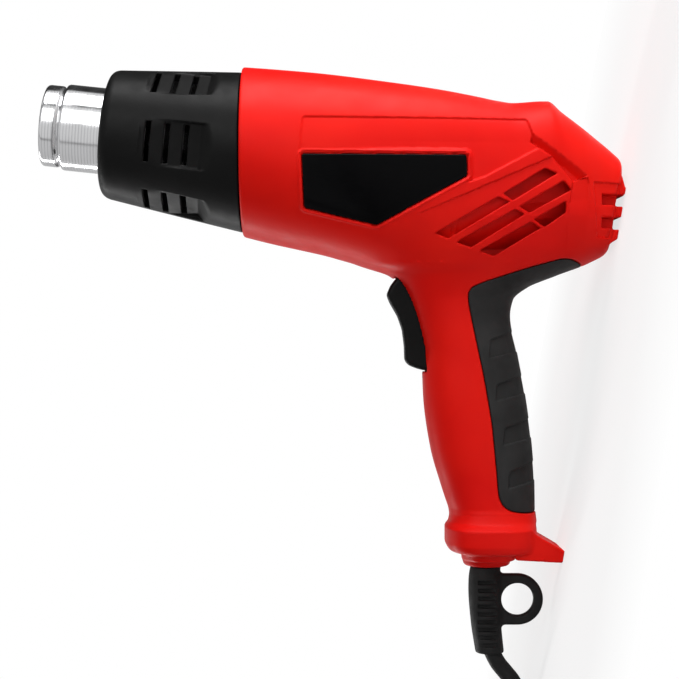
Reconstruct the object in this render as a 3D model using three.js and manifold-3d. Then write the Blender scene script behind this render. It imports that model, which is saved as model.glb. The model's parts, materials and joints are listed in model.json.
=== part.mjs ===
// Corded electric heat gun, set down on its tail with the nozzle up, its flex coiled beside it.
// Lengths are millimetres and angles are radians. The gun is drawn in its own frame: x from the handle
// to the back of the body, y across, z forward to the nozzle, with the middle tail tooth at the origin.
// The gun then leans onto its three tail teeth and its heel spur, which end in one flat plane, z = 0.
import * as THREE from 'three';
import { mergeVertices } from 'three/addons/utils/BufferGeometryUtils.js';
import Module from 'manifold-3d';

const wasm = await Module();
wasm.setup();

// Fits
const wall = 2.5; // moulded shell thickness
const seat = 0.3; // clearance between pieces that touch
const bore = 0.3; // radial clearance of shafts and pins
const degree = Math.PI / 180;

// Attitude
const tailLean = 9.5 * degree; // the body's axis off the vertical when the gun stands
const standOff = 2.3; // how far up the body's axis the standing plane crosses it
const endOff = 3; // how far the tail's end face stands behind that plane
const nozzleTilt = 5.9 * degree; // the air duct's axis off the body's axis

// Body
const seamZ = 162.5; // where the barrel meets the body
const seamX = 26.15;
const bodyRadius = 36.25; // at the seam
const spigotRibRadius = bodyRadius - 4.75; // the shells' rib that hooks into the barrel's spigot
const ductX = 12.3; // the duct's axis at the tail plane

// Barrel and nozzle, along the duct axis
const barrelRadius = bodyRadius - 2.05;
const barrelFront = 222.2;
const barrelNoseRadius = 27.2;
const barrelWall = 2.2;
const tubeRadius = 18.4;
const tubeWall = 1;
const tubeTip = 248.6;
const flangeScrewCircle = 22.6; // radius on which the tube's three screws stand
const flangeScrewRadius = 1.2;
const bandRadius = 17.4;
const bandLength = 7.6;

// Barrel pockets, each with cooling slots
const pocketCount = 6;
const pocketFloor = barrelNoseRadius + 1.7; // distance of the flat floor from the pockets' axis
const pocketOffset = -2; // the pockets' axis from the duct's
const pocketTurn = -7 * degree;
const noseOffset = -1; // the barrel's nose from the duct's axis
const pocketFront = 204.2;
const pocketBack = 179.2;
const pocketRamp = 6.6; // length of the slope behind the floor
const pocketRise = 5.5;
const pocketHalf = 9.4;
const slotCount = 3;
const slotPitch = 8;
const slotWidth = 2.2;
const slotHalf = 8.3;

// Fan duct and motor, along the duct axis
const ductRadius = bodyRadius - 9.5;
const ductWall = 1.5;
const ductBack = 64;
const ductFront = 124;
const ductRibs = [70, 110]; // where the shells' ribs hold the duct
const ribThickness = 2.4;
const motorRadius = 13.8;
const motorBack = 88;
const motorLength = 24;
const motorWall = 1;
const shaftRadius = 1.2;
const bushRadius = 3;
const fanRadius = ductRadius - 3.5;
const fanBack = 68;
const fanHeight = 11;
const bladeCount = 9;

// Heater, along the duct axis
const heaterBack = 130;
const heaterFront = tubeTip - 18.6;
const sleeveRadius = tubeRadius - tubeWall - seat;
const sleeveWall = 0.5;
const micaThickness = 0.8;
const wireRadius = 0.45;
const heaterTurns = 10;
const heaterTurnRadius = 15.1;
const coreRadius = 14.2;

// Handle and trigger
const handleEnd = -148.2; // underside of the base flange
const cordZ = 58; // the flex's line down the handle
const cordRadius = 3.5;
const triggerX = -47; // trigger pivot
const triggerZ = 82;
const triggerHalf = 7;
const triggerPinRadius = 2;
const switchHalf = 9.5;

// Flex clamp in the handle
const clampX = -106;
const clampScrews = [49.5, 66.5];
const clampScrewRadius = 1.4;

// Housing screws, as [x, z]
const screwPlaces = [[52, 139], [-6.5, 133], [33, 31], [-9, 16], [-86, 74.5], [-124, 67.5]];
const screwRadius = 1.6;
const screwHeadRadius = 3.3;
const screwHead = 2;
const screwSeat = 8; // depth from the parting plane to the head's seat
const screwReach = 8; // length of shank past the parting plane

const red = new THREE.MeshStandardMaterial({ color: 0xe0231a, roughness: 0.42, metalness: 0 });
const black = new THREE.MeshStandardMaterial({ color: 0x1a1a1c, roughness: 0.5, metalness: 0 });
const rubber = new THREE.MeshStandardMaterial({ color: 0x202124, roughness: 0.8, metalness: 0 });
const plateBlack = new THREE.MeshStandardMaterial({ color: 0x050506, roughness: 0.3, metalness: 0 });
const steel = new THREE.MeshStandardMaterial({ color: 0xc9ccd0, roughness: 0.25, metalness: 1 });
const zinc = new THREE.MeshStandardMaterial({ color: 0x8d9096, roughness: 0.4, metalness: 1 });
const brass = new THREE.MeshStandardMaterial({ color: 0xc9a44a, roughness: 0.35, metalness: 1 });
const mica = new THREE.MeshStandardMaterial({ color: 0xb9a98a, roughness: 0.6, metalness: 0 });
const nickelWire = new THREE.MeshStandardMaterial({ color: 0x9a938a, roughness: 0.5, metalness: 1 });
const board = new THREE.MeshStandardMaterial({ color: 0x8a6a35, roughness: 0.7, metalness: 0 });
const magnet = new THREE.MeshStandardMaterial({ color: 0x3c3c40, roughness: 0.8, metalness: 0 });
const sleeving = new THREE.MeshStandardMaterial({ color: 0xe8e8e4, roughness: 0.6, metalness: 0 });

const heatGun = new THREE.Group();
const gun = new THREE.Group(); // the gun's own frame
const duct = new THREE.Group(); // z along the air duct's axis
gun.rotation.y = -tailLean;
const drop = standOff * Math.cos(tailLean); // sets the gun down onto the plane
gun.position.z = -drop;
duct.position.x = ductX;
duct.rotation.y = nozzleTilt;
gun.add(duct);
heatGun.add(gun);
const ductMatrix = new THREE.Matrix4().makeRotationY(nozzleTilt).setPosition(ductX, 0, 0);

// Closed triangle mesh with shared corners and no empty triangles
function welded(geometry) {
  const bare = geometry.clone();
  for (const name of Object.keys(bare.attributes)) {
    if (name !== 'position') bare.deleteAttribute(name);
  }
  const merged = mergeVertices(bare, 1e-4);
  const corners = merged.index.array;
  const kept = [];
  for (let i = 0; i < corners.length; i += 3) {
    const [a, b, c] = corners.slice(i, i + 3);
    if (a !== b && b !== c && c !== a) kept.push(a, b, c);
  }
  merged.setIndex(kept);
  return merged;
}

function solid(geometry) {
  const merged = welded(geometry);
  return new wasm.Manifold(new wasm.Mesh({
    numProp: 3,
    vertProperties: new Float32Array(merged.attributes.position.array),
    triVerts: new Uint32Array(merged.index.array),
  }));
}

function geometryOf(manifold) {
  const mesh = manifold.getMesh();
  const geometry = new THREE.BufferGeometry();
  geometry.setAttribute('position', new THREE.BufferAttribute(mesh.vertProperties, 3));
  geometry.setIndex(new THREE.BufferAttribute(mesh.triVerts, 1));
  return geometry;
}

function union(...solids) {
  return solids.reduce((whole, next) => whole.add(next));
}

// Adds a mesh to the model: shape is a closed geometry or a manifold
function piece(parent, name, shape, material) {
  const geometry = shape.isBufferGeometry ? welded(shape) : geometryOf(shape);
  const flat = geometry.toNonIndexed();
  flat.computeVertexNormals();
  const mesh = new THREE.Mesh(flat, material);
  mesh.name = name;
  parent.add(mesh);
  return mesh;
}

// Solid through rings of equal point counts, closed at both ends
function loft(rings) {
  const count = rings[0].length;
  const positions = rings.flat().flatMap((p) => [p.x, p.y, p.z]);
  const ends = [rings[0], rings[rings.length - 1]].map((ring) => {
    const middle = new THREE.Vector3();
    for (const p of ring) middle.addScaledVector(p, 1 / count);
    positions.push(middle.x, middle.y, middle.z);
    return positions.length / 3 - 1;
  });
  const faces = [];
  const last = (rings.length - 1) * count;
  for (let i = 0; i < count; i += 1) {
    const next = (i + 1) % count;
    faces.push(ends[0], next, i, ends[1], last + i, last + next);
    for (let k = 0; k < last; k += count) {
      faces.push(k + i, k + next, k + count + next, k + i, k + count + next, k + count + i);
    }
  }
  const geometry = new THREE.BufferGeometry();
  geometry.setAttribute('position', new THREE.Float32BufferAttribute(positions, 3));
  geometry.setIndex(faces);
  return geometry;
}

// Profile of [radius, z] points turned about z; it starts and ends on the axis or closes on itself
function revolve(profile, segments = 32) {
  const points = profile.map(([r, z]) => new THREE.Vector2(r, z));
  return new THREE.LatheGeometry(points, segments).rotateX(Math.PI / 2);
}

function ring(inner, outer, low, high, segments) {
  return revolve([[inner, low], [outer, low], [outer, high], [inner, high], [inner, low]], segments);
}

function disc(radius, low, high, segments) {
  return revolve([[0, low], [radius, low], [radius, high], [0, high]], segments);
}

function box(x, y, z) {
  const size = [x, y, z].map(([low, high]) => high - low);
  const middle = [x, y, z].map(([low, high]) => (low + high) / 2);
  return new THREE.BoxGeometry(...size).translate(...middle);
}

// Polygon of [x, z] points in the side view, extruded across the gun from low to high y
function sidePrism(points, low, high) {
  const shape = new THREE.Shape(points.map(([x, z]) => new THREE.Vector2(x, z)));
  const geometry = new THREE.ExtrudeGeometry(shape, { depth: high - low, bevelEnabled: false });
  return geometry.rotateX(Math.PI / 2).translate(0, high, 0);
}

// Round bar across the gun at [x, z], from low to high y
function crossBar([x, z], radius, low, high, segments = 16) {
  return disc(radius, low, high, segments).rotateX(-Math.PI / 2).translate(x, 0, z);
}

// The same outline moved outwards by a distance
function grown(points, distance) {
  const area = THREE.ShapeUtils.area(points.map(([x, z]) => new THREE.Vector2(x, z)));
  const side = Math.sign(area) * distance;
  return points.map((point, i) => {
    const before = points[(i + points.length - 1) % points.length];
    const after = points[(i + 1) % points.length];
    const [a, b] = [[before, point], [point, after]].map(([from, to]) => {
      const length = Math.hypot(to[0] - from[0], to[1] - from[1]);
      return [(to[1] - from[1]) / length, (from[0] - to[0]) / length];
    });
    const turn = 1 + a[0] * b[0] + a[1] * b[1];
    return [point[0] + (side * (a[0] + b[0])) / turn, point[1] + (side * (a[1] + b[1])) / turn];
  });
}

// One point of a superellipse with unit half axes
function ovalPoint(i, count, power) {
  const angle = ((i + 0.5) / count) * 2 * Math.PI;
  const u = Math.cos(angle);
  const v = Math.sin(angle);
  return [Math.sign(u) * Math.abs(u) ** (2 / power), Math.sign(v) * Math.abs(v) ** (2 / power)];
}

// Body sections from the tail to the seam: where they stand, top and bottom lines, half width, squareness.
// A skin section shapes only the outside, and pad is how far the soft grip thickens the wall below.
const girth = bodyRadius / 36.25; // how stout the body is beside the one measured
const bodyStations = [
  { z: 1, top: 18.3, bottom: -9, half: 19.2, power: 3, pad: 0 },
  { z: 7, top: 25, bottom: -17, half: 21.4, power: 3, pad: 0 },
  { z: 12, top: 29.7, bottom: -18.8, half: 23.6, power: 2.9, pad: 1 },
  { z: 20, top: 36.1, bottom: -20.2, half: 27.6, power: 2.8, pad: 1, skin: true },
  { z: 27.7, top: 41.8, bottom: -21.2, half: 28.8, power: 2.7, pad: 1 },
  { z: 34.8, top: 47.1, bottom: -22.3, half: 29.6, power: 2.7, pad: 1 },
  { z: 47.7, top: 46.4, bottom: -23.7, half: 30.7, power: 2.6, pad: 1 },
  { z: 78, top: 52.4, bottom: -25.4, half: 33, power: 2.5, pad: 0 },
  { z: 104, top: 56.3, bottom: -23.8, half: 34.6, power: 2.35, pad: 0 },
  { z: 130, top: 59.6, bottom: -17.6, half: 35.7, power: 2.2, pad: 0, skin: true },
  { z: seamZ - 12, top: 61.5, bottom: -13.1, half: 36.1, power: 2.05, pad: 0 },
  { z: seamZ, top: 62.4, bottom: -10.1, half: 36.25, power: 2, pad: 0 },
].map((station) => {
  const middle = (station.top + station.bottom) / 2;
  const reach = ((station.top - station.bottom) / 2) * girth;
  return { ...station, top: middle + reach, bottom: middle - reach, half: station.half * girth };
});

// Handle sections from inside the body down to the flange: back and front lines, half width
const handleStations = [
  { x: -8, back: 6, front: 141, half: 26, power: 2.3 },
  { x: -15, back: 8, front: 141, half: 26.4, power: 2.3 },
  { x: -21.7, back: 15.8, front: 113.5, half: 23.8, power: 2.3 },
  { x: -26.9, back: 28.3, front: 99, half: 21.2, power: 2.3 },
  { x: -32, back: 40.6, front: 95, half: 19, power: 2.3 },
  { x: -37.2, back: 46.7, front: 92.4, half: 17.6, power: 2.3, skin: true },
  { x: -44, back: 48, front: 89.8, half: 17.2, power: 2.3 },
  { x: -60.8, back: 44.8, front: 86.1, half: 17.4, power: 2.3 },
  { x: -80.2, back: 41.2, front: 85.1, half: 18, power: 2.4, skin: true },
  { x: -100.8, back: 38.6, front: 82.1, half: 18, power: 2.4 },
  { x: -116.3, back: 37.6, front: 77.7, half: 17.8, power: 2.4, skin: true },
  { x: -129.2, back: 37.5, front: 73.4, half: 18, power: 2.5 },
];

// Base flange sections below the handle
const flangeStations = [
  { x: -128.2, back: 38.2, front: 73, half: 17.6, power: 2.5 },
  { x: -131.6, back: 37.4, front: 74.4, half: 19.6, power: 2.7 },
  { x: -134.4, back: 37.1, front: 76.4, half: 23, power: 3 },
  { x: -139.6, back: 37.1, front: 75.9, half: 23, power: 3 },
  { x: -144.4, back: 38.4, front: 72.6, half: 21, power: 3 },
  { x: handleEnd, back: 42, front: 68.4, half: 17.6, power: 3 },
];

const bodyPoints = 22;
const handlePoints = 18;
const gripDepth = 2.2;
const padWall = gripDepth + seat; // what the soft grip's recess takes from the wall

function bodySection({ z, top, bottom, half, power }, inset, floor) {
  const [high, low] = [top - inset, bottom + inset + floor];
  return Array.from({ length: bodyPoints }, (_, i) => {
    const [u, v] = ovalPoint(i, bodyPoints, power);
    return new THREE.Vector3((high + low) / 2 + (u * (high - low)) / 2, v * (half - inset), z);
  });
}

function handleSection({ x, back, front, half, power }, inset, pad = 0) {
  const [near, far] = [front - inset, back + inset + pad];
  return Array.from({ length: handlePoints }, (_, i) => {
    const [u, v] = ovalPoint(i, handlePoints, power);
    return new THREE.Vector3(x, v * (half - inset - pad), (near + far) / 2 + (u * (near - far)) / 2);
  });
}

// What stands ahead of the tail's end face, moved forward by an inset
function aheadOfTail(shape, inset) {
  const normal = [Math.sin(tailLean), 0, Math.cos(tailLean)];
  return shape.trimByPlane(normal, (standOff + endOff) * Math.cos(tailLean) + inset);
}

// Body inset from its skin
function bodySolid(inset) {
  return aheadOfTail(solid(loft(bodyStations.map((s) => bodySection(s, inset, 0)))), inset);
}

// Body inset from its skin as the hollow is, with the grip's recess taken from it
function innerBody(inset, past = 0) {
  const stations = bodyStations.filter((s) => !s.skin).map((s) => ({ ...s }));
  stations[stations.length - 1].z += past;
  return aheadOfTail(solid(loft(stations.map((s) => bodySection(s, inset, s.pad * padWall)))), inset);
}

function handleSolid(inset) {
  return solid(loft(handleStations.map((s) => handleSection(s, inset))));
}

function skin(inset) {
  return bodySolid(inset).add(handleSolid(inset));
}

// Where a point of the standing plane lies along z
const restZ = (x) => standOff - x * Math.tan(tailLean);

// Outlines are read in the side view, where a face of the body that stands nearer looks larger
const viewMiddle = [-54.2, 121.2];
const nearer = (share) => ([x, z]) => [
  viewMiddle[0] + (x - viewMiddle[0]) * share, viewMiddle[1] + (z - viewMiddle[1]) * share,
];
const onBody = nearer(0.957);
const onGrip = nearer(0.978);

const gripOutline = [
  [-32.7, 66.4], [-41, 65.3], [-69.7, 59.2], [-90.3, 55.7], [-111, 53.7], [-123.5, 52.7], [-127.6, 49],
  [-129, 42], [-129, 22], [-50, 22], [-26, 8], [-21.4, 17], [-19.2, 24], [-23, 38.3], [-29.6, 59.2],
].map(onGrip);
const labelOutline = [[25, 137.3], [25, 66.7], [16, 66.5], [-4.3, 103.9], [2.5, 136.4]].map(onBody);
const panelOutline = [
  [40.4, 137], [40.1, 38.6], [33, 37.6], [15.4, 13], [11.7, 19.6], [25, 28], [28.6, 33], [14, 65],
  [26.8, 64.8], [26.8, 138.4],
].map(onBody);

// Vent rows in the side of the body: a slot on each side of one slanting bar
const ventAngle = 29.9 * degree; // rise of the rows towards the tail
const ventStart = [5.4, 49]; // middle of the bar in the top row
const ventPitch = 8;
const ventStep = 3.4; // each row's bar lies this much further along
const ventWidth = 4.6;
const ventBar = 2.2;
const ventRows = [{ ahead: 31, behind: 22 }, { ahead: 28, behind: 22 }, { ahead: 25, behind: 13 }];
const ventSlant = 1.5;
const screenDepth = 6.2; // of the screens behind the vents, below the skin
const screenThickness = 1.4;
const along = [Math.sin(ventAngle), -Math.cos(ventAngle)];
const down = [-Math.cos(ventAngle), -Math.sin(ventAngle)];

function ventPoint(row, reach, offset) {
  const s = row * ventStep + reach;
  const n = row * ventPitch + offset;
  return onBody([0, 1].map((k) => ventStart[k] + s * along[k] + n * down[k]));
}

function ventOutlines() {
  const half = ventWidth / 2;
  return ventRows.flatMap(({ ahead, behind }, row) => [[-ahead, -ventBar / 2], [ventBar / 2, behind]]
    .map(([from, to]) => [
      ventPoint(row, from - ventSlant, -half),
      ventPoint(row, to - ventSlant, -half),
      ventPoint(row, to + ventSlant, half),
      ventPoint(row, from + ventSlant, half),
    ]));
}

const wide = 60; // further out than any part of the gun

// Tail teeth: each one's upper and lower side in x, how far they reach across, and the floor between them
const toothTop = [10.2, 6.4];
const toothMiddle = [1.9, -2.9];
const toothLow = [-7.9, -12];
const toothHalf = 16;
const gapZ = (x) => restZ(x) + endOff + 0.8;
const notchDepth = 14; // from the middle plane to the notches between the teeth
const notchTop = 10.8;
const gapMiddles = [(toothTop[1] + toothMiddle[0]) / 2, (toothMiddle[1] + toothLow[0]) / 2];

// Outer form of the whole housing
function housingForm() {
  const flange = solid(loft(flangeStations.map((s) => handleSection(s, 0))));
  const collar = solid(disc(9.6, 0, 8, 18).rotateY(-Math.PI / 2).translate(handleEnd + 5, 0, cordZ));
  const heel = solid(sidePrism([
    [-134.6, 41], [-137.8, 36], [-145.1, restZ(-145.1)], [-149.9, restZ(-149.9)], [-148, 44], [-140, 52],
  ], -21, 21));
  const heelPlan = [[-21, 60], [-13, 20], [13, 20], [21, 60]].map(([y, z]) => new THREE.Vector2(z, y));
  const heelTaper = solid(new THREE.ExtrudeGeometry(new THREE.Shape(heelPlan), {
    depth: 40, bevelEnabled: false,
  }).rotateY(-Math.PI / 2).translate(-120, 0, 0));
  const teeth = solid(sidePrism([
    [15, 12], [14.4, restZ(14.4) + endOff - 0.6], [toothTop[0], restZ(toothTop[0]) + 0.6],
    [toothTop[0] - 0.8, restZ(toothTop[0] - 0.8)], [toothTop[1], restZ(toothTop[1])], [toothTop[1], gapZ(toothTop[1])],
    [toothMiddle[0], gapZ(toothMiddle[0])], [toothMiddle[0], restZ(toothMiddle[0])],
    [toothMiddle[1], restZ(toothMiddle[1])], [toothMiddle[1], gapZ(toothMiddle[1])],
    [toothLow[0], gapZ(toothLow[0])], [toothLow[0], restZ(toothLow[0])], [toothLow[1], restZ(toothLow[1])],
    [-14, restZ(-14) + endOff], [-14, 13],
  ], -toothHalf, toothHalf));
  return union(skin(0), flange, collar, heel.intersect(heelTaper), teeth);
}

// Space inside both shells, open at the seam and thicker behind the soft grip
function housingHollow() {
  const handle = handleStations.filter((s) => !s.skin).map((s) => ({ ...s }));
  handle.push({ ...handle[handle.length - 1], x: handleEnd + wall });
  return innerBody(wall, 5).add(solid(loft(handle.map((s) => handleSection(s, wall, padWall)))));
}

// A slab across the body with the duct's round cut from it
function ductRib(from) {
  const slab = box([-44, wide], [-wide, wide], [from, from + ribThickness]);
  const round = disc(ductRadius + seat, from - 1, from + ribThickness + 1, 24);
  return solid(slab.applyMatrix4(ductMatrix)).subtract(solid(round.applyMatrix4(ductMatrix)));
}

// The ribs, pads and bosses left standing inside both shells
function housingInside() {
  const wireNotch = solid(box([-40, -7], [-8, 8], [40, 122]));
  const crescents = union(...ductRibs.map(ductRib)).subtract(wireNotch);
  const spigotRib = solid(ring(spigotRibRadius, bodyRadius + 2, seamZ - 5.8, seamZ - 3.2, 30)
    .translate(seamX, 0, 0));
  const pads = solid(box([-50, -44], [-wide, wide], [60, 72]))
    .subtract(solid(box([-90, 0], [-switchHalf - seat, switchHalf + seat], [40, 100])));
  const pinBoss = solid(crossBar([triggerX, triggerZ], triggerPinRadius + 2.4, -wide, wide, 10))
    .subtract(solid(box([-90, 0], [-triggerHalf - 0.6, triggerHalf + 0.6], [40, 100])));
  const cordStop = solid(box([handleEnd + 5.6, handleEnd + 7.6], [-wide, wide], [30, 80]))
    .subtract(solid(disc(5.2, -10, 10, 12).rotateY(Math.PI / 2).translate(handleEnd + 6, 0, cordZ)));
  const screenWeb = innerBody(screenDepth).subtract(innerBody(screenDepth + screenThickness)).intersect(union(
    solid(box([-22, -1], [-wide, -12], [74, 86])), solid(box([-22, -1], [12, wide], [74, 86])),
  ));
  const toothBlocks = [[-wide, -notchDepth + 2.5], [notchDepth - 2.5, wide]]
    .map((y) => solid(box([-13, 12], y, [0, notchTop + 2.5])));
  return union(crescents, spigotRib, pads, pinBoss, cordStop, screenWeb, ...toothBlocks);
}

// Everything cut through both shells
function housingCuts() {
  const vents = union(...ventOutlines().map((outline) => [
    solid(sidePrism(outline, -wide, -14)), solid(sidePrism(outline, 14, wide)),
  ]).flat()).subtract(bodySolid(screenDepth - 1.2));
  const notches = gapMiddles.flatMap((x) => [[-wide, -notchDepth], [notchDepth, wide]]
    .map((y) => solid(box([x - 2.3, x + 2.3], y, [0, notchTop]))));
  const tailSlots = gapMiddles.flatMap((x) => [-8, 8]
    .map((y) => solid(box([x - 1.5, x + 1.5], [y - 5.5, y + 5.5], [0, 14]))));
  const trigger = solid(sidePrism(triggerSlot(), -triggerHalf - 0.5, triggerHalf + 0.5));
  const pins = solid(crossBar([triggerX, triggerZ], triggerPinRadius + bore, -12.3, 12.3, 10));
  const cord = solid(disc(6.6, -20, 8, 16).rotateY(Math.PI / 2).translate(handleEnd, 0, cordZ));
  const panels = union(
    solid(sidePrism(panelOutline, -wide, -5)), solid(sidePrism(panelOutline, 5, wide)),
  ).subtract(bodySolid(0.9));
  return union(vents, ...notches, ...tailSlots, trigger, pins, cord, panels);
}

// What lies outside a depth below the skin, within an outline in the side view
function outside(outline, depth, low, high) {
  return solid(sidePrism(outline, low, high)).subtract(skin(depth));
}

const halfSpace = {
  left: () => solid(box([-250, 150], [-wide, -seat / 2], [-20, 240])),
  right: () => solid(box([-250, 150], [seat / 2, wide], [-20, 240])),
};
const labelDepth = 0.9;

function buildHousing() {
  const form = housingForm().subtract(outside(grown(gripOutline, seat), padWall, -wide, wide));
  const space = housingHollow().subtract(housingInside());
  const cuts = housingCuts();

  const posts = screwPlaces.map((place) => solid(crossBar(place, 4, -wide, 0, 10)));
  const pilots = screwPlaces.map((place) => (
    solid(crossBar(place, screwRadius + bore, -screwReach - 1, 1, 8))));
  const clampPosts = (low, high) => clampScrews.map((z) => solid(crossBar([clampX, z], 3.2, low, high, 10)));
  const clampPilots = clampScrews.map((z) => solid(crossBar([clampX, z], clampScrewRadius + bore, -9, 9, 8)));
  const saddle = solid(box([clampX - 3, clampX + 3], [-wide, -cordRadius - seat], [cordZ - 5, cordZ + 5]));
  const label = outside(grown(labelOutline, seat), labelDepth + seat, -wide, -5);
  const left = form.subtract(space.subtract(union(...posts, ...clampPosts(-wide, 0), saddle)))
    .subtract(union(cuts, ...pilots, label)).intersect(halfSpace.left())
    .add(union(...clampPosts(-3, cordRadius))).subtract(union(...clampPilots));
  piece(gun, 'housing_left', left, red);

  const sockets = screwPlaces.map((place) => solid(crossBar(place, screwHeadRadius + 2, 0, wide, 10)));
  const holes = screwPlaces.flatMap((place) => [
    solid(crossBar(place, screwRadius + bore, -1, screwSeat + 1, 8)),
    solid(crossBar(place, screwHeadRadius + 0.4, screwSeat, wide, 12)),
  ]);
  const right = form.subtract(space.subtract(union(...sockets)))
    .subtract(union(cuts, ...holes)).intersect(halfSpace.right());
  piece(gun, 'housing_right', right, red);
}

function buildGrips() {
  const grooves = union(...[-59, -79, -98, -116].map((x) => solid(sidePrism([
    [x + 6, 30], [x + 2.6, 56 + (x + 59) * 0.16], [x - 6, 56.4 + (x + 59) * 0.16], [x - 2.6, 30],
  ], -wide, wide)))).subtract(skin(0.9));
  const pad = skin(0).intersect(outside(gripOutline, gripDepth, -wide, wide)).subtract(grooves);
  piece(gun, 'grip_pad_left', pad.intersect(halfSpace.left()), rubber);
  piece(gun, 'grip_pad_right', pad.intersect(halfSpace.right()), rubber);
}

function buildLabel() {
  const plate = skin(0).intersect(outside(labelOutline, labelDepth, -wide, -5));
  piece(gun, 'label_plate', plate, plateBlack);
}

// Red screens inside the body, behind the vents
function buildBaffles() {
  const outline = [
    [-15, 69.5], [-5, 69.5], [-1, 64], [12, 58], [20.7, 40.6], [15.9, 23.3], [-2.3, 21.9], [-14.7, 41.5],
  ];
  const sheet = innerBody(screenDepth).subtract(innerBody(screenDepth + screenThickness));
  const posts = [[-7, 62.6], [14.5, 46], [2.9, 45.5], [-2.5, 38.4]].map(onBody);
  const pegs = union(...posts.map((place) => solid(crossBar(place, 1.4, -wide, wide, 8))))
    .intersect(innerBody(wall + seat)).subtract(innerBody(screenDepth + 0.5));
  for (const [name, low, high, flap] of [
    ['left', -wide, -12, [-17.8, -16.6]], ['right', 12, wide, [16.6, 17.8]],
  ]) {
    const side = solid(sidePrism(outline, low, high));
    const sidePegs = pegs.intersect(solid(box([-wide, wide], [low, high], [0, 100])));
    const corner = solid(sidePrism([[-22, 69.5], [-22, 56], [-12.3, 44], [-12.3, 38], [-7.5, 38], [-7.5, 69.5]], ...flap));
    piece(gun, `intake_baffle_${name}`, union(sheet.intersect(side), sidePegs, corner), red);
  }
}

// Trigger outline: its ends are arcs about the pivot, so that they clear the housing as it rocks
const triggerUpper = 24.2;
const triggerLower = 20.6;
const triggerFront = [
  [-31, 99.3], [-35, 101], [-38.5, 99.6], [-44.2, 96.3], [-50, 94.3], [-57, 93.4], [-63.2, 93.2],
];

function pivotArc(radius, from, to, steps) {
  return Array.from({ length: steps + 1 }, (_, i) => {
    const angle = (from + ((to - from) * i) / steps) * degree;
    return [triggerX + radius * Math.sin(angle), triggerZ + radius * Math.cos(angle)];
  });
}

function triggerSlot() {
  return [
    ...pivotArc(triggerUpper + 0.5, 92, 30, 6), [triggerX + 6, 112], [triggerX - 22, 104],
    ...pivotArc(triggerLower + 0.5, -50, -92, 5),
  ];
}

function buildTrigger() {
  const outline = [
    ...pivotArc(triggerUpper, 84, 51, 4), ...triggerFront, ...pivotArc(triggerLower, -62, -84, 3),
  ];
  const blade = solid(sidePrism(outline, -triggerHalf, triggerHalf));
  const hub = solid(crossBar([triggerX, triggerZ], triggerPinRadius + 2, -triggerHalf, triggerHalf, 16));
  const pin = solid(crossBar([triggerX, triggerZ], triggerPinRadius, -triggerHalf - 5, triggerHalf + 5, 16));
  piece(gun, 'trigger', union(blade, hub, pin), black);
  const body = box([-61, -33], [-switchHalf, switchHalf], [58.5, 77.5]);
  piece(gun, 'power_switch', body, black);
}

function buildScrews() {
  screwPlaces.forEach((place, i) => {
    const profile = [
      [0, -screwReach], [screwRadius, -screwReach + 1], [screwRadius, screwSeat + seat],
      [screwHeadRadius, screwSeat + seat], [screwHeadRadius - 0.8, screwSeat + seat + screwHead],
      [0, screwSeat + seat + screwHead],
    ];
    const screw = revolve(profile, 8).rotateX(-Math.PI / 2).translate(place[0], 0, place[1]);
    piece(gun, `housing_screw_${i + 1}`, screw, zinc);
  });
}

// A circle square to the line between the body's axis at the seam and the duct's axis at the nose
function barrelRing(share, radius, count = 30) {
  const back = new THREE.Vector3(seamX - 0.2, 0, seamZ + seat);
  const nose = new THREE.Vector3(noseOffset, 0, barrelFront).applyMatrix4(ductMatrix);
  const middle = back.lerp(nose, share);
  const turn = new THREE.Matrix4().makeRotationY(nozzleTilt * Math.min(share, 1));
  return Array.from({ length: count }, (_, i) => {
    const angle = ((i + 0.5) / count) * 2 * Math.PI;
    const p = new THREE.Vector3(Math.cos(angle) * radius, Math.sin(angle) * radius, 0);
    return p.applyMatrix4(turn).add(middle);
  });
}

// The pockets as cutting solids
function barrelPockets() {
  const outline = [
    [pocketFloor, pocketFront], [pocketFloor, pocketBack], [pocketFloor + pocketRise, pocketBack - pocketRamp],
    [pocketFloor + 20, pocketBack - pocketRamp], [pocketFloor + 20, pocketFront],
  ];
  return union(...Array.from({ length: pocketCount }, (_, i) => (
    solid(sidePrism(outline, -pocketHalf, pocketHalf)
      .rotateZ(((i + 0.5) / pocketCount) * 2 * Math.PI + pocketTurn)
      .translate(pocketOffset, 0, 0).applyMatrix4(ductMatrix)))));
}

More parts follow.
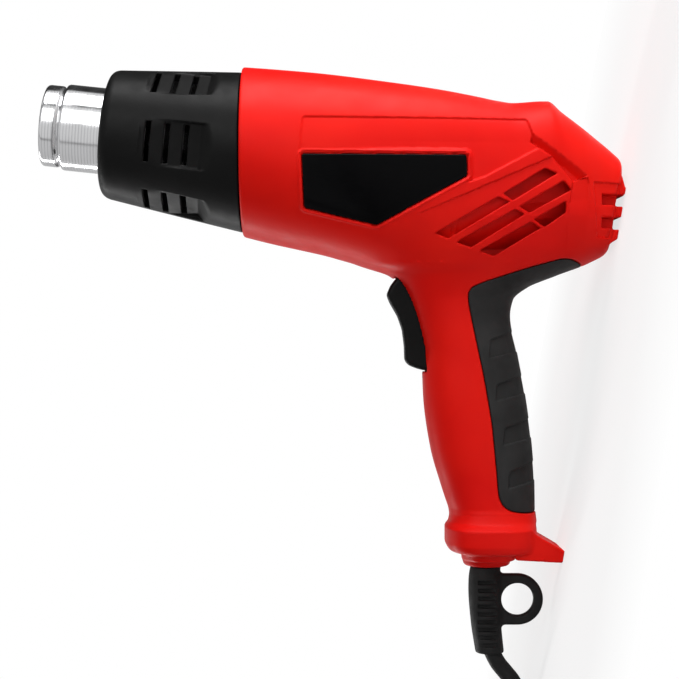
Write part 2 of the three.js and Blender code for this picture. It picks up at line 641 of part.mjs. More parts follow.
function buildBarrel() {
  const nose = 1 / (barrelFront - seamZ);
  const cone = (share) => barrelRadius + (barrelNoseRadius - barrelRadius) * share;
  const outer = solid(loft([
    barrelRing(0, barrelRadius), barrelRing(1 - 3 * nose, cone(1 - 3 * nose)),
    barrelRing(1 - nose, barrelNoseRadius - 0.9), barrelRing(1, barrelNoseRadius - 2.8),
  ]));
  const inside = (pocketFloor - barrelWall) / Math.cos(Math.PI / 12);
  const hollow = solid(loft([
    barrelRing(-0.05, barrelRadius - barrelWall - 1.6, 12), barrelRing(0.1, barrelRadius - barrelWall - 1.6, 12),
    barrelRing(0.25, inside, 12), barrelRing(0.8, inside, 12),
    barrelRing(1 - barrelWall * nose, barrelNoseRadius - barrelWall - 1.5, 12),
  ]));
  const mouth = solid(disc(tubeRadius + 0.6, barrelFront - 10, barrelFront + 5, 30).applyMatrix4(ductMatrix));
  const slots = Array.from({ length: pocketCount * slotCount }, (_, i) => {
    const middle = pocketFront - 3 - slotPitch * (i % slotCount);
    const turn = ((Math.floor(i / slotCount) + 0.5) / pocketCount) * 2 * Math.PI;
    const cut = box([20, 40], [-slotHalf, slotHalf], [middle - slotWidth / 2, middle + slotWidth / 2]);
    return solid(cut.rotateZ(turn + pocketTurn).translate(pocketOffset, 0, 0).applyMatrix4(ductMatrix));
  });
  const neck = spigotRibRadius - seat;
  const lip = spigotRibRadius + 1.2;
  const spigot = solid(revolve([
    [neck - 1.5, seamZ - 9.1], [lip, seamZ - 9.1], [lip, seamZ - 6.1], [neck, seamZ - 6.1],
    [neck, seamZ - 2.9], [lip, seamZ - 2.9], [lip, seamZ + 1.2], [neck - 1.5, seamZ + 1.2],
    [neck - 1.5, seamZ - 9.1],
  ], 30).translate(seamX, 0, 0));
  const barrel = outer.subtract(hollow).subtract(union(barrelPockets(), mouth, ...slots)).add(spigot);
  piece(gun, 'front_barrel', barrel, black);
}

// Three copies of a geometry evenly around the duct's axis
function threeAround(geometry) {
  return [0, 1, 2].map((i) => geometry.clone().rotateZ((i * 2 * Math.PI) / 3));
}

function buildNozzle() {
  const inner = tubeRadius - tubeWall;
  const groove = tubeTip - bandLength;
  const holes = union(...threeAround(
    disc(flangeScrewRadius + bore, ductFront - 1, ductFront + 4, 8).translate(flangeScrewCircle, 0, 0),
  ).map(solid));
  const tubeForm = revolve([
    [inner, ductFront + 1.4], [tubeRadius + 7.6, ductFront + 1.4], [tubeRadius + 7.6, ductFront + 2.4],
    [tubeRadius, ductFront + 2.4], [tubeRadius, groove - 1.6], [bandRadius - 0.9, groove],
    [bandRadius, groove + 1.2], [bandRadius, tubeTip - 1.4], [bandRadius - 0.9, tubeTip],
    [bandRadius - 1.6, tubeTip - 0.6], [bandRadius - tubeWall, tubeTip - 2],
    [bandRadius - tubeWall, groove + 1], [bandRadius - 0.9 - tubeWall, groove],
    [inner, groove - 2], [inner, ductFront + 1.4],
  ], 32);
  piece(duct, 'nozzle_tube', solid(tubeForm).subtract(holes), steel);
  const washer = ring(inner + 1, tubeRadius + 7, ductFront + seat, ductFront + 1.1, 18);
  piece(duct, 'mica_washer', solid(washer).subtract(holes), mica);
  const head = ductFront + 2.4 + seat;
  const screw = revolve([
    [0, ductFront - 5], [flangeScrewRadius, ductFront - 4.5], [flangeScrewRadius, head], [2.6, head],
    [2.2, head + 1.5], [0, head + 1.5],
  ], 8).translate(flangeScrewCircle, 0, 0);
  threeAround(screw).forEach((shape, i) => piece(duct, `flange_screw_${i + 1}`, shape, zinc));
}

function buildClamp() {
  const low = cordRadius + seat;
  const high = low + 2.5;
  const holes = clampScrews.map((z) => (
    solid(crossBar([clampX, z], clampScrewRadius + bore, low - 1, high + 1))));
  const bar = solid(box([clampX - 4, clampX + 4], [low, high], [clampScrews[0] - 3.5, clampScrews[1] + 3.5]));
  piece(gun, 'cord_clamp', bar.subtract(union(...holes)), black);
  clampScrews.forEach((z, i) => {
    const head = high + seat;
    const screw = revolve([
      [0, -8], [clampScrewRadius, -7], [clampScrewRadius, head], [2.7, head], [2.2, head + 1.6],
      [0, head + 1.6],
    ], 12).rotateX(-Math.PI / 2).translate(clampX, 0, z);
    piece(gun, `clamp_screw_${i + 1}`, screw, zinc);
  });
}

// Round tube along a curve
function tube(curve, radius, sides, steps) {
  const section = Array.from({ length: sides }, (_, i) => {
    const angle = (i / sides) * 2 * Math.PI;
    return new THREE.Vector2(Math.cos(angle) * radius, Math.sin(angle) * radius);
  });
  return new THREE.ExtrudeGeometry(new THREE.Shape(section), {
    steps, extrudePath: curve, bevelEnabled: false,
  });
}

const through = (points) => new THREE.CatmullRomCurve3(points.map((p) => new THREE.Vector3(...p)));

function buildDuct() {
  const cup = motorRadius + seat;
  const lip = motorBack - seat;
  const collar = 1.6;
  const parts = [
    revolve([
      [18, ductBack], [ductRadius, ductBack], [ductRadius, ductRibs[0] - collar - seat],
      [ductRadius + 0.8, ductRibs[0] - collar - seat], [ductRadius + 0.8, ductRibs[0] - seat],
      [ductRadius, ductRibs[0] - seat], [ductRadius, ductRibs[0] + ribThickness + seat],
      [ductRadius + 0.8, ductRibs[0] + ribThickness + seat],
      [ductRadius + 0.8, ductRibs[0] + ribThickness + collar + seat],
      [ductRadius, ductRibs[0] + ribThickness + collar + seat],
      [ductRadius, ductFront], [20, ductFront], [20, ductFront - 2], [ductRadius - ductWall, ductFront - 2],
      [ductRadius - ductWall, ductBack + 1.5], [18, ductBack + 1.5], [18, ductBack],
    ], 24),
    revolve([
      [11, lip - 1.5], [cup + 1.5, lip - 1.5], [cup + 1.5, motorBack + motorLength],
      [cup, motorBack + motorLength], [cup, lip], [11, lip], [11, lip - 1.5],
    ], 24),
  ];
  for (let i = 0; i < 4; i += 1) {
    const vane = box([cup + 0.8, ductRadius - 0.5], [-0.8, 0.8], [motorBack + 4, motorBack + 20]);
    parts.push(vane.rotateZ((i * Math.PI) / 2));
  }
  parts.push(...threeAround(disc(2.9, ductFront - 7, ductFront - 1, 8).translate(flangeScrewCircle, 0, 0)));
  const cuts = [box([-ductRadius - 2, -20], [-6.5, 6.5], [ductFront - 8.5, ductFront - 2.5])];
  const hole = disc(flangeScrewRadius + bore, ductFront - 6, ductFront + 1, 8);
  cuts.push(...threeAround(hole.translate(flangeScrewCircle, 0, 0)));
  piece(duct, 'fan_duct', union(...parts.map(solid)).subtract(union(...cuts.map(solid))), black);
}

function buildFan() {
  const top = fanBack + fanHeight;
  const hub = ring(shaftRadius + bore, 5, fanBack + 2, top, 16);
  const plate = ring(4, fanRadius, top - 1.5, top, 27);
  const steps = 3;
  const blades = Array.from({ length: bladeCount }, (_, i) => {
    const edge = (offset) => Array.from({ length: steps + 1 }, (_, k) => {
      const radius = 4.5 + ((fanRadius - 5) * k) / steps;
      const angle = -0.045 * radius + offset / radius;
      return new THREE.Vector2(radius * Math.cos(angle), radius * Math.sin(angle));
    });
    const shape = new THREE.Shape([...edge(-0.6), ...edge(0.6).reverse()]);
    const blade = new THREE.ExtrudeGeometry(shape, { depth: fanHeight - 1, bevelEnabled: false });
    return solid(blade.translate(0, 0, fanBack).rotateZ((i * 2 * Math.PI) / bladeCount));
  });
  piece(duct, 'fan_impeller', union(solid(hub), solid(plate), ...blades), black);
}

function buildMotor() {
  const front = motorBack + motorLength;
  const bushHole = bushRadius + bore;
  piece(duct, 'motor_can', revolve([
    [bushHole, motorBack], [motorRadius, motorBack], [motorRadius, front], [motorRadius - motorWall, front],
    [motorRadius - motorWall, motorBack + motorWall], [bushHole, motorBack + motorWall],
    [bushHole, motorBack],
  ], 24), zinc);
  const bell = solid(ring(bushHole, motorRadius - 0.2, front + seat, front + 2.5, 24));
  const tags = [-7, 7].map((y) => solid(box([-1.5, 1.5], [y - 0.4, y + 0.4], [front + 2, front + 4.7])));
  piece(duct, 'motor_end_bell', union(bell, ...tags), black);
  piece(duct, 'motor_bush_back', ring(shaftRadius + bore, bushRadius, motorBack - 0.8, motorBack + 2.8, 12), brass);
  piece(duct, 'motor_bush_front', ring(shaftRadius + bore, bushRadius, front - 0.4, front + 2.2, 12), brass);
  piece(duct, 'motor_armature', revolve([
    [0, fanBack + 1], [shaftRadius, fanBack + 1], [shaftRadius, motorBack + 4], [10, motorBack + 4],
    [10, front - 6], [3.6, front - 6], [3.6, front - 2], [shaftRadius, front - 2],
    [shaftRadius, front + 2.4], [0, front + 2.4],
  ], 12), zinc);
  const outside = motorRadius - motorWall - seat;
  for (const [name, turn] of [['left', -Math.PI / 2], ['right', Math.PI / 2]]) {
    const shape = new THREE.Shape();
    shape.absarc(0, 0, outside, -0.95, 0.95, false);
    shape.absarc(0, 0, outside - 1.8, 0.95, -0.95, true);
    const arc = new THREE.ExtrudeGeometry(shape, {
      depth: motorLength - 7, bevelEnabled: false, curveSegments: 5,
    });
    piece(duct, `motor_magnet_${name}`, arc.translate(0, 0, motorBack + 3).rotateZ(turn), magnet);
  }
  const boardBack = front + 5;
  piece(duct, 'rectifier_board', disc(12, boardBack, boardBack + 1.4, 16), board);
  for (let i = 0; i < 4; i += 1) {
    const body = disc(1.5, -3, 3, 8).rotateX(Math.PI / 2).translate(-6 + 4 * i, 0, boardBack + 3.2);
    piece(duct, `rectifier_diode_${i + 1}`, body, black);
  }
}

// The heating wire: even turns about the core, its corners over the core's edges
class HeaterCurve extends THREE.Curve {
  getPoint(t) {
    const angle = t * heaterTurns * 2 * Math.PI;
    const z = heaterBack + 7 + t * (heaterFront - heaterBack - 14);
    return new THREE.Vector3(
      Math.cos(angle) * heaterTurnRadius,
      Math.sin(angle) * heaterTurnRadius,
      z,
    );
  }
}

function buildHeater() {
  const sleeve = ring(sleeveRadius - sleeveWall, sleeveRadius, heaterBack - 2, heaterFront + 3, 24);
  piece(duct, 'mica_sleeve', sleeve, mica);
  const half = micaThickness / 2;
  const tab = sleeveRadius - sleeveWall - seat;
  const core = [
    [[-coreRadius, coreRadius], [heaterBack, heaterFront]],
    [[-tab, tab], [heaterBack, heaterBack + 4]],
    [[-tab, tab], [heaterFront - 4, heaterFront]],
  ].flatMap(([width, z]) => [solid(box(width, [-half, half], z)), solid(box([-half, half], width, z))]);
  piece(duct, 'heater_core', union(...core), mica);
  const curve = new HeaterCurve();
  piece(duct, 'heater_wire', tube(curve, wireRadius, 5, heaterTurns * 8), nickelWire);
  const corner = half + seat + 3;
  piece(duct, 'thermal_cutout', disc(3, heaterBack + 8, heaterBack + 20, 10).translate(corner, corner, 0), zinc);
}

// The flex leaves the handle, curves down to the ground, winds in layers and ends in its plug on top
const coilMiddle = [-281.24, 20.64];
const coilInner = 32.5;
const coilPitch = 7.5;
const coilLayer = 7.45;
const coilLayers = 4;
const layerTurns = 1.5;
const coilTurns = coilLayers * layerTurns;
const coilStart = -45 * degree;
const leadEnd = -176; // where the clipped lead inside the gun ends and the free flex starts
const runRoute = [
  [-183.2, 0, 25.9], [-187.7, 0, 24.8], [-192, 0, 23.1], [-196, 0, 20.8], [-199.5, 0, 18], [-202.4, 0, 14.7],
  [-205.9, 0, 10.8], [-210.1, 0, 7.8], [-214.9, 0, 5.4], [-220.1, 0, 4], [-225.6, 0, 3.5],
  [-232.4, -0.7, 3.5], [-239, -2.7, 3.5], [-245, -5.9, 3.5], [-250.3, -10.3, 3.5],
];
const tailOffsets = [
  [30.66, -31.23, 25.85], [26.8, -35.5, 25.9], [18.3, -41.1, 26], [3.9, -45, 26.4], [-11.7, -43.7, 27.4],
  [-25.5, -36.5, 29.4], [-34.4, -24.1, 32.2], [-37.9, -10.2, 33.7], [-38.6, 4, 34.6], [-34.6, 17.5, 35.4],
  [-27.8, 27.2, 36], [-18.5, 33.8, 36.3], [-12.5, 35.4, 36.35], [-8, 35.5, 36.35],
]; // from the coil's middle
const tailRoute = tailOffsets.map(([x, y, z]) => [coilMiddle[0] + x, coilMiddle[1] + y, z]);

class CoilCurve extends THREE.Curve {
  getPoint(t) {
    const turn = t * (coilTurns - 0.002) + 0.001;
    const inPair = turn % (2 * layerTurns);
    const radius = coilInner + coilPitch * Math.abs(inPair - layerTurns);
    const angle = coilStart - 2 * Math.PI * turn;
    let climb = 0;
    for (let i = 1; i < coilLayers; i += 1) {
      climb += THREE.MathUtils.smoothstep(turn, i * layerTurns - 0.25, i * layerTurns + 0.25);
    }
    return new THREE.Vector3(
      coilMiddle[0] + radius * Math.cos(angle),
      coilMiddle[1] + radius * Math.sin(angle),
      cordRadius + coilLayer * climb,
    );
  }

  // Even steps by angle, so that the corners of neighbouring turns stand side by side
  getPointAt(t) {
    return this.getPoint(t);
  }

  getTangentAt(t) {
    return this.getTangent(t);
  }
}

// Least distance between the skins of a wound tube's separate turns, on points of its straight steps
function leastGap(curve, radius, steps) {
  const corners = curve.getSpacedPoints(steps);
  const points = corners.slice(1).flatMap((p, i) => [0, 0.25, 0.5, 0.75].map((t) => (
    corners[i].clone().lerp(p, t))));
  const apart = Math.ceil((4 * Math.PI * radius) / points[0].distanceTo(points[1]));
  let least = Infinity;
  for (let i = 0; i < points.length; i += 1) {
    for (let j = i + apart; j < points.length; j += 1) {
      least = Math.min(least, points[i].distanceTo(points[j]));
    }
  }
  return least - 2 * radius;
}

function runTube(extra) {
  return tube(through(runRoute), cordRadius + extra, 10, 16);
}

function buildFlex() {
  const lead = disc(cordRadius, leadEnd + seat, -98, 12).rotateY(Math.PI / 2).translate(0, 0, cordZ);
  piece(gun, 'inner_lead', lead, rubber);
  piece(heatGun, 'cord_run', runTube(0), rubber);
  const coil = new CoilCurve();
  piece(heatGun, 'cord_coil', tube(coil, cordRadius, 6, coilTurns * 24), rubber);
  piece(heatGun, 'cord_tail', tube(through(tailRoute), cordRadius, 10, 12), rubber);
  console.log('least gap in the coil', leastGap(coil, cordRadius, coilTurns * 24).toFixed(2));
  console.log('least gap in the heater', leastGap(new HeaterCurve(), wireRadius, heaterTurns * 8).toFixed(2));
}

// Insulated wires inside the handle and body
const wireRoutes = {
  wire_to_switch: [[-97.5, -1.8, 58], [-85, -4, 61], [-72, -5, 64], [-61.4, -5, 66]],
  wire_live: [
    [-32.1, -5, 66], [-24, -4.5, 72], [-17, -4, 84], [-14, -3.5, 98], [-13, -3.5, 110], [-9.5, -3.5, 117.8],
    [-2.4, -3.5, 120.6], [7.5, -3.5, 121.7], [11.6, -3.5, 126], [12.6, -3.5, 133],
  ],
  wire_neutral: [
    [-97.5, 1.8, 58], [-85, 3, 56.3], [-66, 2.2, 56], [-46, 2.2, 56.2], [-32, 3, 56.6], [-26.5, 3.8, 61.5],
    [-22, 4, 70], [-17, 3.5, 84], [-14, 3.5, 98], [-13, 3.5, 110], [-9.5, 3.5, 117.8], [-2.4, 3.5, 120.6],
    [7.5, 3.5, 121.7], [11.6, 3.5, 126], [12.6, 3.5, 133],
  ],
};

function buildWires() {
  for (const [name, route] of Object.entries(wireRoutes)) {
    piece(gun, name, tube(through(route), 1.2, 5, route.length * 2), sleeving);
  }
}

// Rubber bend protector with its hanging eye and flex slots
const reliefEnd = -188.8;
const eyeX = -165.7;
const eyeZ = 44.8;
const eyeHole = 6.9;
const eyeRadius = 11;

function buildRelief() {
  const stations = [
    [-142.9, 58, 8.6, 8.6], [-145.4, 58, 8.6, 8.6], [-145.4, 58, 6.2, 6.2], [-151.5, 58, 6.2, 6.2],
    [-151.5, 58.4, 6.5, 6.5], [-161, 59.1, 6.7, 6.7], [-175, 58.3, 6.5, 6.5], [reliefEnd, 56.6, 6.1, 5.9],
  ];
  const body = solid(loft(stations.map(([x, z, depth, half]) => (
    handleSection({ x, back: z - depth, front: z + depth, half, power: 2 }, 0)))));
  const tab = sidePrism([
    [eyeX - eyeRadius, cordZ - 2], ...Array.from({ length: 11 }, (_, i) => {
      const angle = (i / 10) * Math.PI;
      return [eyeX - eyeRadius * Math.cos(angle), eyeZ - eyeRadius * Math.sin(angle)];
    }), [eyeX + eyeRadius, cordZ - 2],
  ], -2.2, 2.2);
  const eye = solid(crossBar([eyeX, eyeZ], eyeHole, -5, 5, 20));
  const flexSlots = Array.from({ length: 9 }, (_, i) => -158 - 3.35 * i).flatMap((x) => [-1, 1].map((side) => (
    solid(box([x - 0.8, x + 0.8], [side * 4.7, side * 9].sort((a, b) => a - b), [cordZ - 4, cordZ + 4])))));
  const leadBore = solid(disc(cordRadius + seat, leadEnd - 2, -130, 12).rotateY(Math.PI / 2)
    .translate(0, 0, cordZ));
  const bent = solid(runTube(seat).translate(0, 0, drop).rotateY(tailLean));
  const relief = body.add(solid(tab)).subtract(union(eye, ...flexSlots, leadBore, bent));
  piece(gun, 'strain_relief', relief, rubber);
}

// Two-pin plug lying on the coil, x along its blades
function buildPlug() {
  const plug = new THREE.Group();
  plug.position.set(...tailRoute[tailRoute.length - 1]);
  heatGun.add(plug);
  const sections = [[0.3, 4.3, 4.3], [8, 4.8, 4.6], [12, 9, 6], [16, 11, 6.4], [32, 11, 6.4], [35, 10, 5.8]];
  const body = solid(loft(sections.map(([x, half, height]) => Array.from({ length: 20 }, (_, i) => {
    const [u, v] = ovalPoint(i, 20, x < 10 ? 2 : 3.2);
    return new THREE.Vector3(x, u * half, v * height);
  }))));
  const sides = [-6.35, 6.35];
  const pockets = sides.map((y) => solid(box([29, 36], [y - 1.05, y + 1.05], [-3.5, 3.5])));
  piece(plug, 'plug_body', body.subtract(union(...pockets)), rubber);
  sides.forEach((y, i) => {
    piece(plug, `plug_blade_${i + 1}`, box([29.3, 52.5], [y - 0.75, y + 0.75], [-3.2, 3.2]), brass);
  });
}

buildHousing();
buildGrips();
buildLabel();
buildBaffles();
buildTrigger();
buildScrews();
buildBarrel();
buildNozzle();
buildDuct();
buildFan();
buildMotor();
buildHeater();
buildClamp();
buildRelief();
buildFlex();
buildWires();
buildPlug();

export default heatGun;
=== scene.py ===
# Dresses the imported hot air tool: fine moulded shells, grip, barrel, nozzle, trigger, bend protector and
# flex, with procedural materials. Shapes are drawn in the gun's own frame in millimetres: x from the
# handle to the body's top line, y across, z forward to the nozzle.
import json
import math

import bpy
import numpy as np
from mathutils import Matrix, Vector


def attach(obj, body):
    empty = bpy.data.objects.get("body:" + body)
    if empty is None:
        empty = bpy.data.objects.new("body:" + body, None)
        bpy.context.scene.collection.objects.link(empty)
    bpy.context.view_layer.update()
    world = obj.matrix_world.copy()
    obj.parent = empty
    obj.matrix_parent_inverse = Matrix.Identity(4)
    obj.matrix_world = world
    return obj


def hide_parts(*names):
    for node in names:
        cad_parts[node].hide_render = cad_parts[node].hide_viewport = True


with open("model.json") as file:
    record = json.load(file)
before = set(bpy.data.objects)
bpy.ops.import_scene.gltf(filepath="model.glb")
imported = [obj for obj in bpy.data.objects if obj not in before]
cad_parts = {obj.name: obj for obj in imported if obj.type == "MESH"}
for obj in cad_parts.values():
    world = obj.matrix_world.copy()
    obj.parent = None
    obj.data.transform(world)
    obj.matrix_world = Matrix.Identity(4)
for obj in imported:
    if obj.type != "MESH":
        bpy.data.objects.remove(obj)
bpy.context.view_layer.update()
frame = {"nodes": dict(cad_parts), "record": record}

LEAN = math.radians(9.5)  # the gun's lean onto its tail and heel
TILT = math.radians(5.9)  # the air duct's axis off the body's
DUCT_X = 12.3  # where the duct's axis crosses z = 0
STAND_OFF = 2.3  # how far up the body's axis the standing plane crosses it
DROP = STAND_OFF * math.cos(LEAN)
MM = 0.001


def lean(vectors):
    x, y, z = np.asarray(vectors, float).T
    c, s = math.cos(LEAN), math.sin(LEAN)
    return np.stack([c * x - s * z, y, s * x + c * z], 1)


def gun_to_world(points):
    return (lean(points) - (0, 0, DROP)) * MM


def world_to_gun(points):
    x, y, z = (np.asarray(points, float) / MM + (0, 0, DROP)).T
    c, s = math.cos(LEAN), math.sin(LEAN)
    return np.stack([c * x + s * z, y, -s * x + c * z], 1)


# Camera
PICTURE_MM = 292.0  # what the picture spans at the gun's middle plane
DISTANCE = 684.0  # from the camera to that plane
AIM = (-54.2, 0.0, 121.2)

camera = bpy.data.objects.new("camera", bpy.data.cameras.new("camera"))
bpy.context.collection.objects.link(camera)
camera.data.angle = 2 * math.atan(PICTURE_MM / 2 / DISTANCE)
camera.data.clip_start = 0.05
camera.data.clip_end = 30
aim = Vector(gun_to_world([AIM])[0])
right = Vector((math.sin(LEAN), 0, -math.cos(LEAN)))
up = Vector((math.cos(LEAN), 0, math.sin(LEAN)))
back = Vector((0, -1, 0))
facing = Matrix((right, up, back)).transposed().to_4x4()
camera.matrix_world = Matrix.Translation(aim + back * DISTANCE * MM) @ facing
bpy.context.scene.camera = camera


# Materials
class Tree:
    """Adds nodes to a material or to the world."""

    def __init__(self, owner):
        owner.use_nodes = True
        self.tree = owner.node_tree

    def node(self, kind, **values):
        """A new node with these inputs, or settings where it has no such input."""
        node = self.tree.nodes.new(kind)
        for key, value in values.items():
            if key in node.inputs:
                node.inputs[key].default_value = value
            else:
                setattr(node, key, value)
        return node

    def link(self, source, target):
        self.tree.links.new(source, target)

    def ramp(self, source, stops):
        node = self.node("ShaderNodeValToRGB")
        while len(node.color_ramp.elements) < len(stops):
            node.color_ramp.elements.new(0.5)
        for element, (position, value) in zip(node.color_ramp.elements, stops):
            element.position = position
            element.color = (*value, 1) if isinstance(value, tuple) else (value, value, value, 1)
        self.link(source, node.inputs["Fac"])
        return node.outputs["Color"]


class Surface(Tree):
    """A material's principled shader and what varies it. Noise and bumps are in millimetres."""

    def __init__(self, name, color, roughness, metallic=0.0):
        self.material = bpy.data.materials.new(name)
        super().__init__(self.material)
        self.shader = self.tree.nodes["Principled BSDF"]
        self.set("Base Color", (*color, 1))
        self.set("Roughness", roughness)
        self.set("Metallic", metallic)

    def set(self, socket, value):
        self.shader.inputs[socket].default_value = value

    def noise(self, size, detail=3):
        """Noise with features about size millimetres across."""
        coordinates = self.node("ShaderNodeTexCoord")
        millimetres = self.node("ShaderNodeMapping", Scale=(1 / MM, 1 / MM, 1 / MM))
        noise = self.node("ShaderNodeTexNoise", Scale=1 / size, Detail=detail)
        self.link(coordinates.outputs["Object"], millimetres.inputs["Vector"])
        self.link(millimetres.outputs["Vector"], noise.inputs["Vector"])
        return noise.outputs["Fac"]

    def color(self, source, stops):
        self.link(self.ramp(source, stops), self.shader.inputs["Base Color"])

    def roughness(self, source, low, high):
        self.link(self.ramp(source, [(0.3, low), (0.7, high)]), self.shader.inputs["Roughness"])

    def bump(self, source, strength, distance=0.4, before=None):
        node = self.node("ShaderNodeBump", Strength=strength, Distance=distance * MM)
        self.link(source, node.inputs["Height"])
        if before is not None:
            self.link(before, node.inputs["Normal"])
        self.link(node.outputs["Normal"], self.shader.inputs["Normal"])
        return node.outputs["Normal"]


def moulded_red():
    m = Surface("moulded_red", (0.70, 0.012, 0.006), 0.4)
    m.color(m.noise(38, 2), [(0.35, (0.73, 0.005, 0.003)), (0.65, (0.80, 0.009, 0.004))])
    m.roughness(m.noise(9, 4), 0.36, 0.5)
    coarse = m.bump(m.noise(2.2, 3), 0.06)
    m.bump(m.noise(0.35, 2), 0.12, 0.2, before=coarse)
    m.set("Specular IOR Level", 0.1)
    return m.material


def moulded_black():
    shade = 0.0045
    m = Surface("moulded_black", (shade, shade, shade * 1.08), 0.34)
    m.color(m.noise(20, 3), [(0.3, (shade * 0.8,) * 3), (0.7, (shade * 1.3,) * 3)])
    m.roughness(m.noise(6, 4), 0.34, 0.48)
    coarse = m.bump(m.noise(1.6, 3), 0.08)
    m.bump(m.noise(0.3, 2), 0.15, 0.2, before=coarse)
    m.set("Specular IOR Level", 0.08)
    return m.material


def rubber(name, shade):
    m = Surface(name, (shade,) * 3, 0.62)
    m.color(m.noise(14, 3), [(0.3, (shade * 0.8,) * 3), (0.7, (shade * 1.35,) * 3)])
    m.roughness(m.noise(5, 4), 0.55, 0.72)
    coarse = m.bump(m.noise(1.1, 3), 0.1)
    m.bump(m.noise(0.25, 2), 0.25, 0.2, before=coarse)
    m.set("Specular IOR Level", 0.2)
    return m.material


def gloss_label():
    m = Surface("gloss_label", (0.0015, 0.0015, 0.0018), 0.16)
    m.set("Specular IOR Level", 0.05)
    m.roughness(m.noise(7, 3), 0.13, 0.22)
    m.bump(m.noise(16, 2), 0.05)
    return m.material


MARK_PITCH = 1.3  # of the lathe marks round the nozzle


def turned_steel():
    """Steel with patchy marks round the nozzle's axis."""
    m = Surface("turned_steel", (0.60, 0.60, 0.61), 0.16, 1.0)
    m.roughness(m.noise(5, 4), 0.10, 0.2)
    coordinates = m.node("ShaderNodeTexCoord")
    along = m.node("ShaderNodeVectorMath", operation="DOT_PRODUCT")
    axis = lean([(math.sin(TILT), 0, math.cos(TILT))])[0]
    along.inputs[1].default_value = axis * 2 * math.pi / (MARK_PITCH * MM)
    wave = m.node("ShaderNodeMath", operation="SINE")
    m.link(coordinates.outputs["Object"], along.inputs[0])
    m.link(along.outputs["Value"], wave.inputs[0])
    patchy = m.node("ShaderNodeMath", operation="MULTIPLY")
    m.link(wave.outputs["Value"], patchy.inputs[0])
    m.link(m.noise(7, 3), patchy.inputs[1])
    m.color(patchy.outputs["Value"], [(0.0, (0.61, 0.61, 0.62)), (0.5, (0.5, 0.5, 0.51))])
    return m.material


def plain_metal(name, color, low, high):
    m = Surface(name, color, low, 1.0)
    m.roughness(m.noise(2, 3), low, high)
    m.bump(m.noise(0.8, 3), 0.15)
    return m.material


def mineral(name, color):
    m = Surface(name, color, 0.55)
    m.color(m.noise(3, 4), [(0.3, tuple(c * 0.75 for c in color)), (0.7, color)])
    m.roughness(m.noise(1.5, 3), 0.45, 0.65)
    m.bump(m.noise(0.9, 4), 0.2)
    return m.material


FLEX_RUBBER = rubber("flex_rubber", 0.008)
FINISH = {
    "shell_red": moulded_red(),
    "shell_black": moulded_black(),
    "soft_grip": rubber("soft_rubber", 0.019),
    "label_black": gloss_label(),
    "nozzle_steel": turned_steel(),
    "flex_rubber": FLEX_RUBBER,
    "zinc": plain_metal("zinc", (0.52, 0.53, 0.56), 0.3, 0.45),
    "bronze": plain_metal("bronze", (0.70, 0.50, 0.20), 0.25, 0.4),
    "heater_wire": plain_metal("heater_wire", (0.40, 0.37, 0.33), 0.35, 0.5),
    "mica": mineral("mica", (0.46, 0.36, 0.22)),
    "board": mineral("board", (0.30, 0.17, 0.06)),
    "ferrite": mineral("ferrite", (0.03, 0.03, 0.033)),
    "sleeving": mineral("sleeving", (0.75, 0.75, 0.72)),
}
for part in frame["record"]["subparts"]:
    node = frame["nodes"][part["node"]]
    node.data.materials.clear()
    node.data.materials.append(FINISH[part["material_slot"]])


# Flex
CORD_RADIUS = 3.5
# From the bend protector down to the surface and along it to the coil, in the world's millimetres
RUN = [
    (-183.2, 0, 25.9), (-187.7, 0, 24.8), (-192, 0, 23.1), (-196, 0, 20.8), (-199.5, 0, 18),
    (-202.4, 0, 14.7),
    (-205.9, 0, 10.8), (-210.1, 0, 7.8), (-214.9, 0, 5.4), (-220.1, 0, 4), (-225.6, 0, 3.5),
    (-232.4, -0.7, 3.5), (-239, -2.7, 3.5), (-245, -5.9, 3.5), (-250.3, -10.3, 3.5),
]
COIL_MIDDLE = (-281.24, 20.64)
COIL_INNER = 32.5  # radius of the innermost turn's middle line
COIL_PITCH = 7.5  # from turn to turn outwards
COIL_LAYER = 7.45  # from layer to layer upwards
COIL_LAYERS = 4
LAYER_TURNS = 1.5
COIL_TURNS = COIL_LAYERS * LAYER_TURNS
COIL_START = -math.pi / 4
CLIMB_TURNS = 0.5  # over which the flex climbs to the next layer
TURN_STEPS = 36
END_TURNS = 0.001  # by which the coil's points stop short of each of its ends
TAIL = [(COIL_MIDDLE[0] + x, COIL_MIDDLE[1] + y, z) for x, y, z in [
    (30.66, -31.23, 25.85), (26.8, -35.5, 25.9), (18.3, -41.1, 26), (3.9, -45, 26.4), (-11.7, -43.7, 27.4),
    (-25.5, -36.5, 29.4), (-34.4, -24.1, 32.2), (-37.9, -10.2, 33.7), (-38.6, 4, 34.6), (-34.6, 17.5, 35.4),
    (-27.8, 27.2, 36), (-18.5, 33.8, 36.3), (-12.5, 35.4, 36.35), (-8, 35.5, 36.35),
]]


def coil_point(turn):
    """Middle of the flex so many turns into the coil, which winds inwards and outwards by turns."""
    in_pair = turn % (2 * LAYER_TURNS)
    radius = COIL_INNER + COIL_PITCH * abs(in_pair - LAYER_TURNS)
    angle = COIL_START - 2 * math.pi * turn
    climb = 0
    for i in range(1, COIL_LAYERS):
        t = min(max((turn - i * LAYER_TURNS + CLIMB_TURNS / 2) / CLIMB_TURNS, 0), 1)
        climb += t * t * (3 - 2 * t)
    return (COIL_MIDDLE[0] + radius * math.cos(angle), COIL_MIDDLE[1] + radius * math.sin(angle),
            CORD_RADIUS + COIL_LAYER * climb)


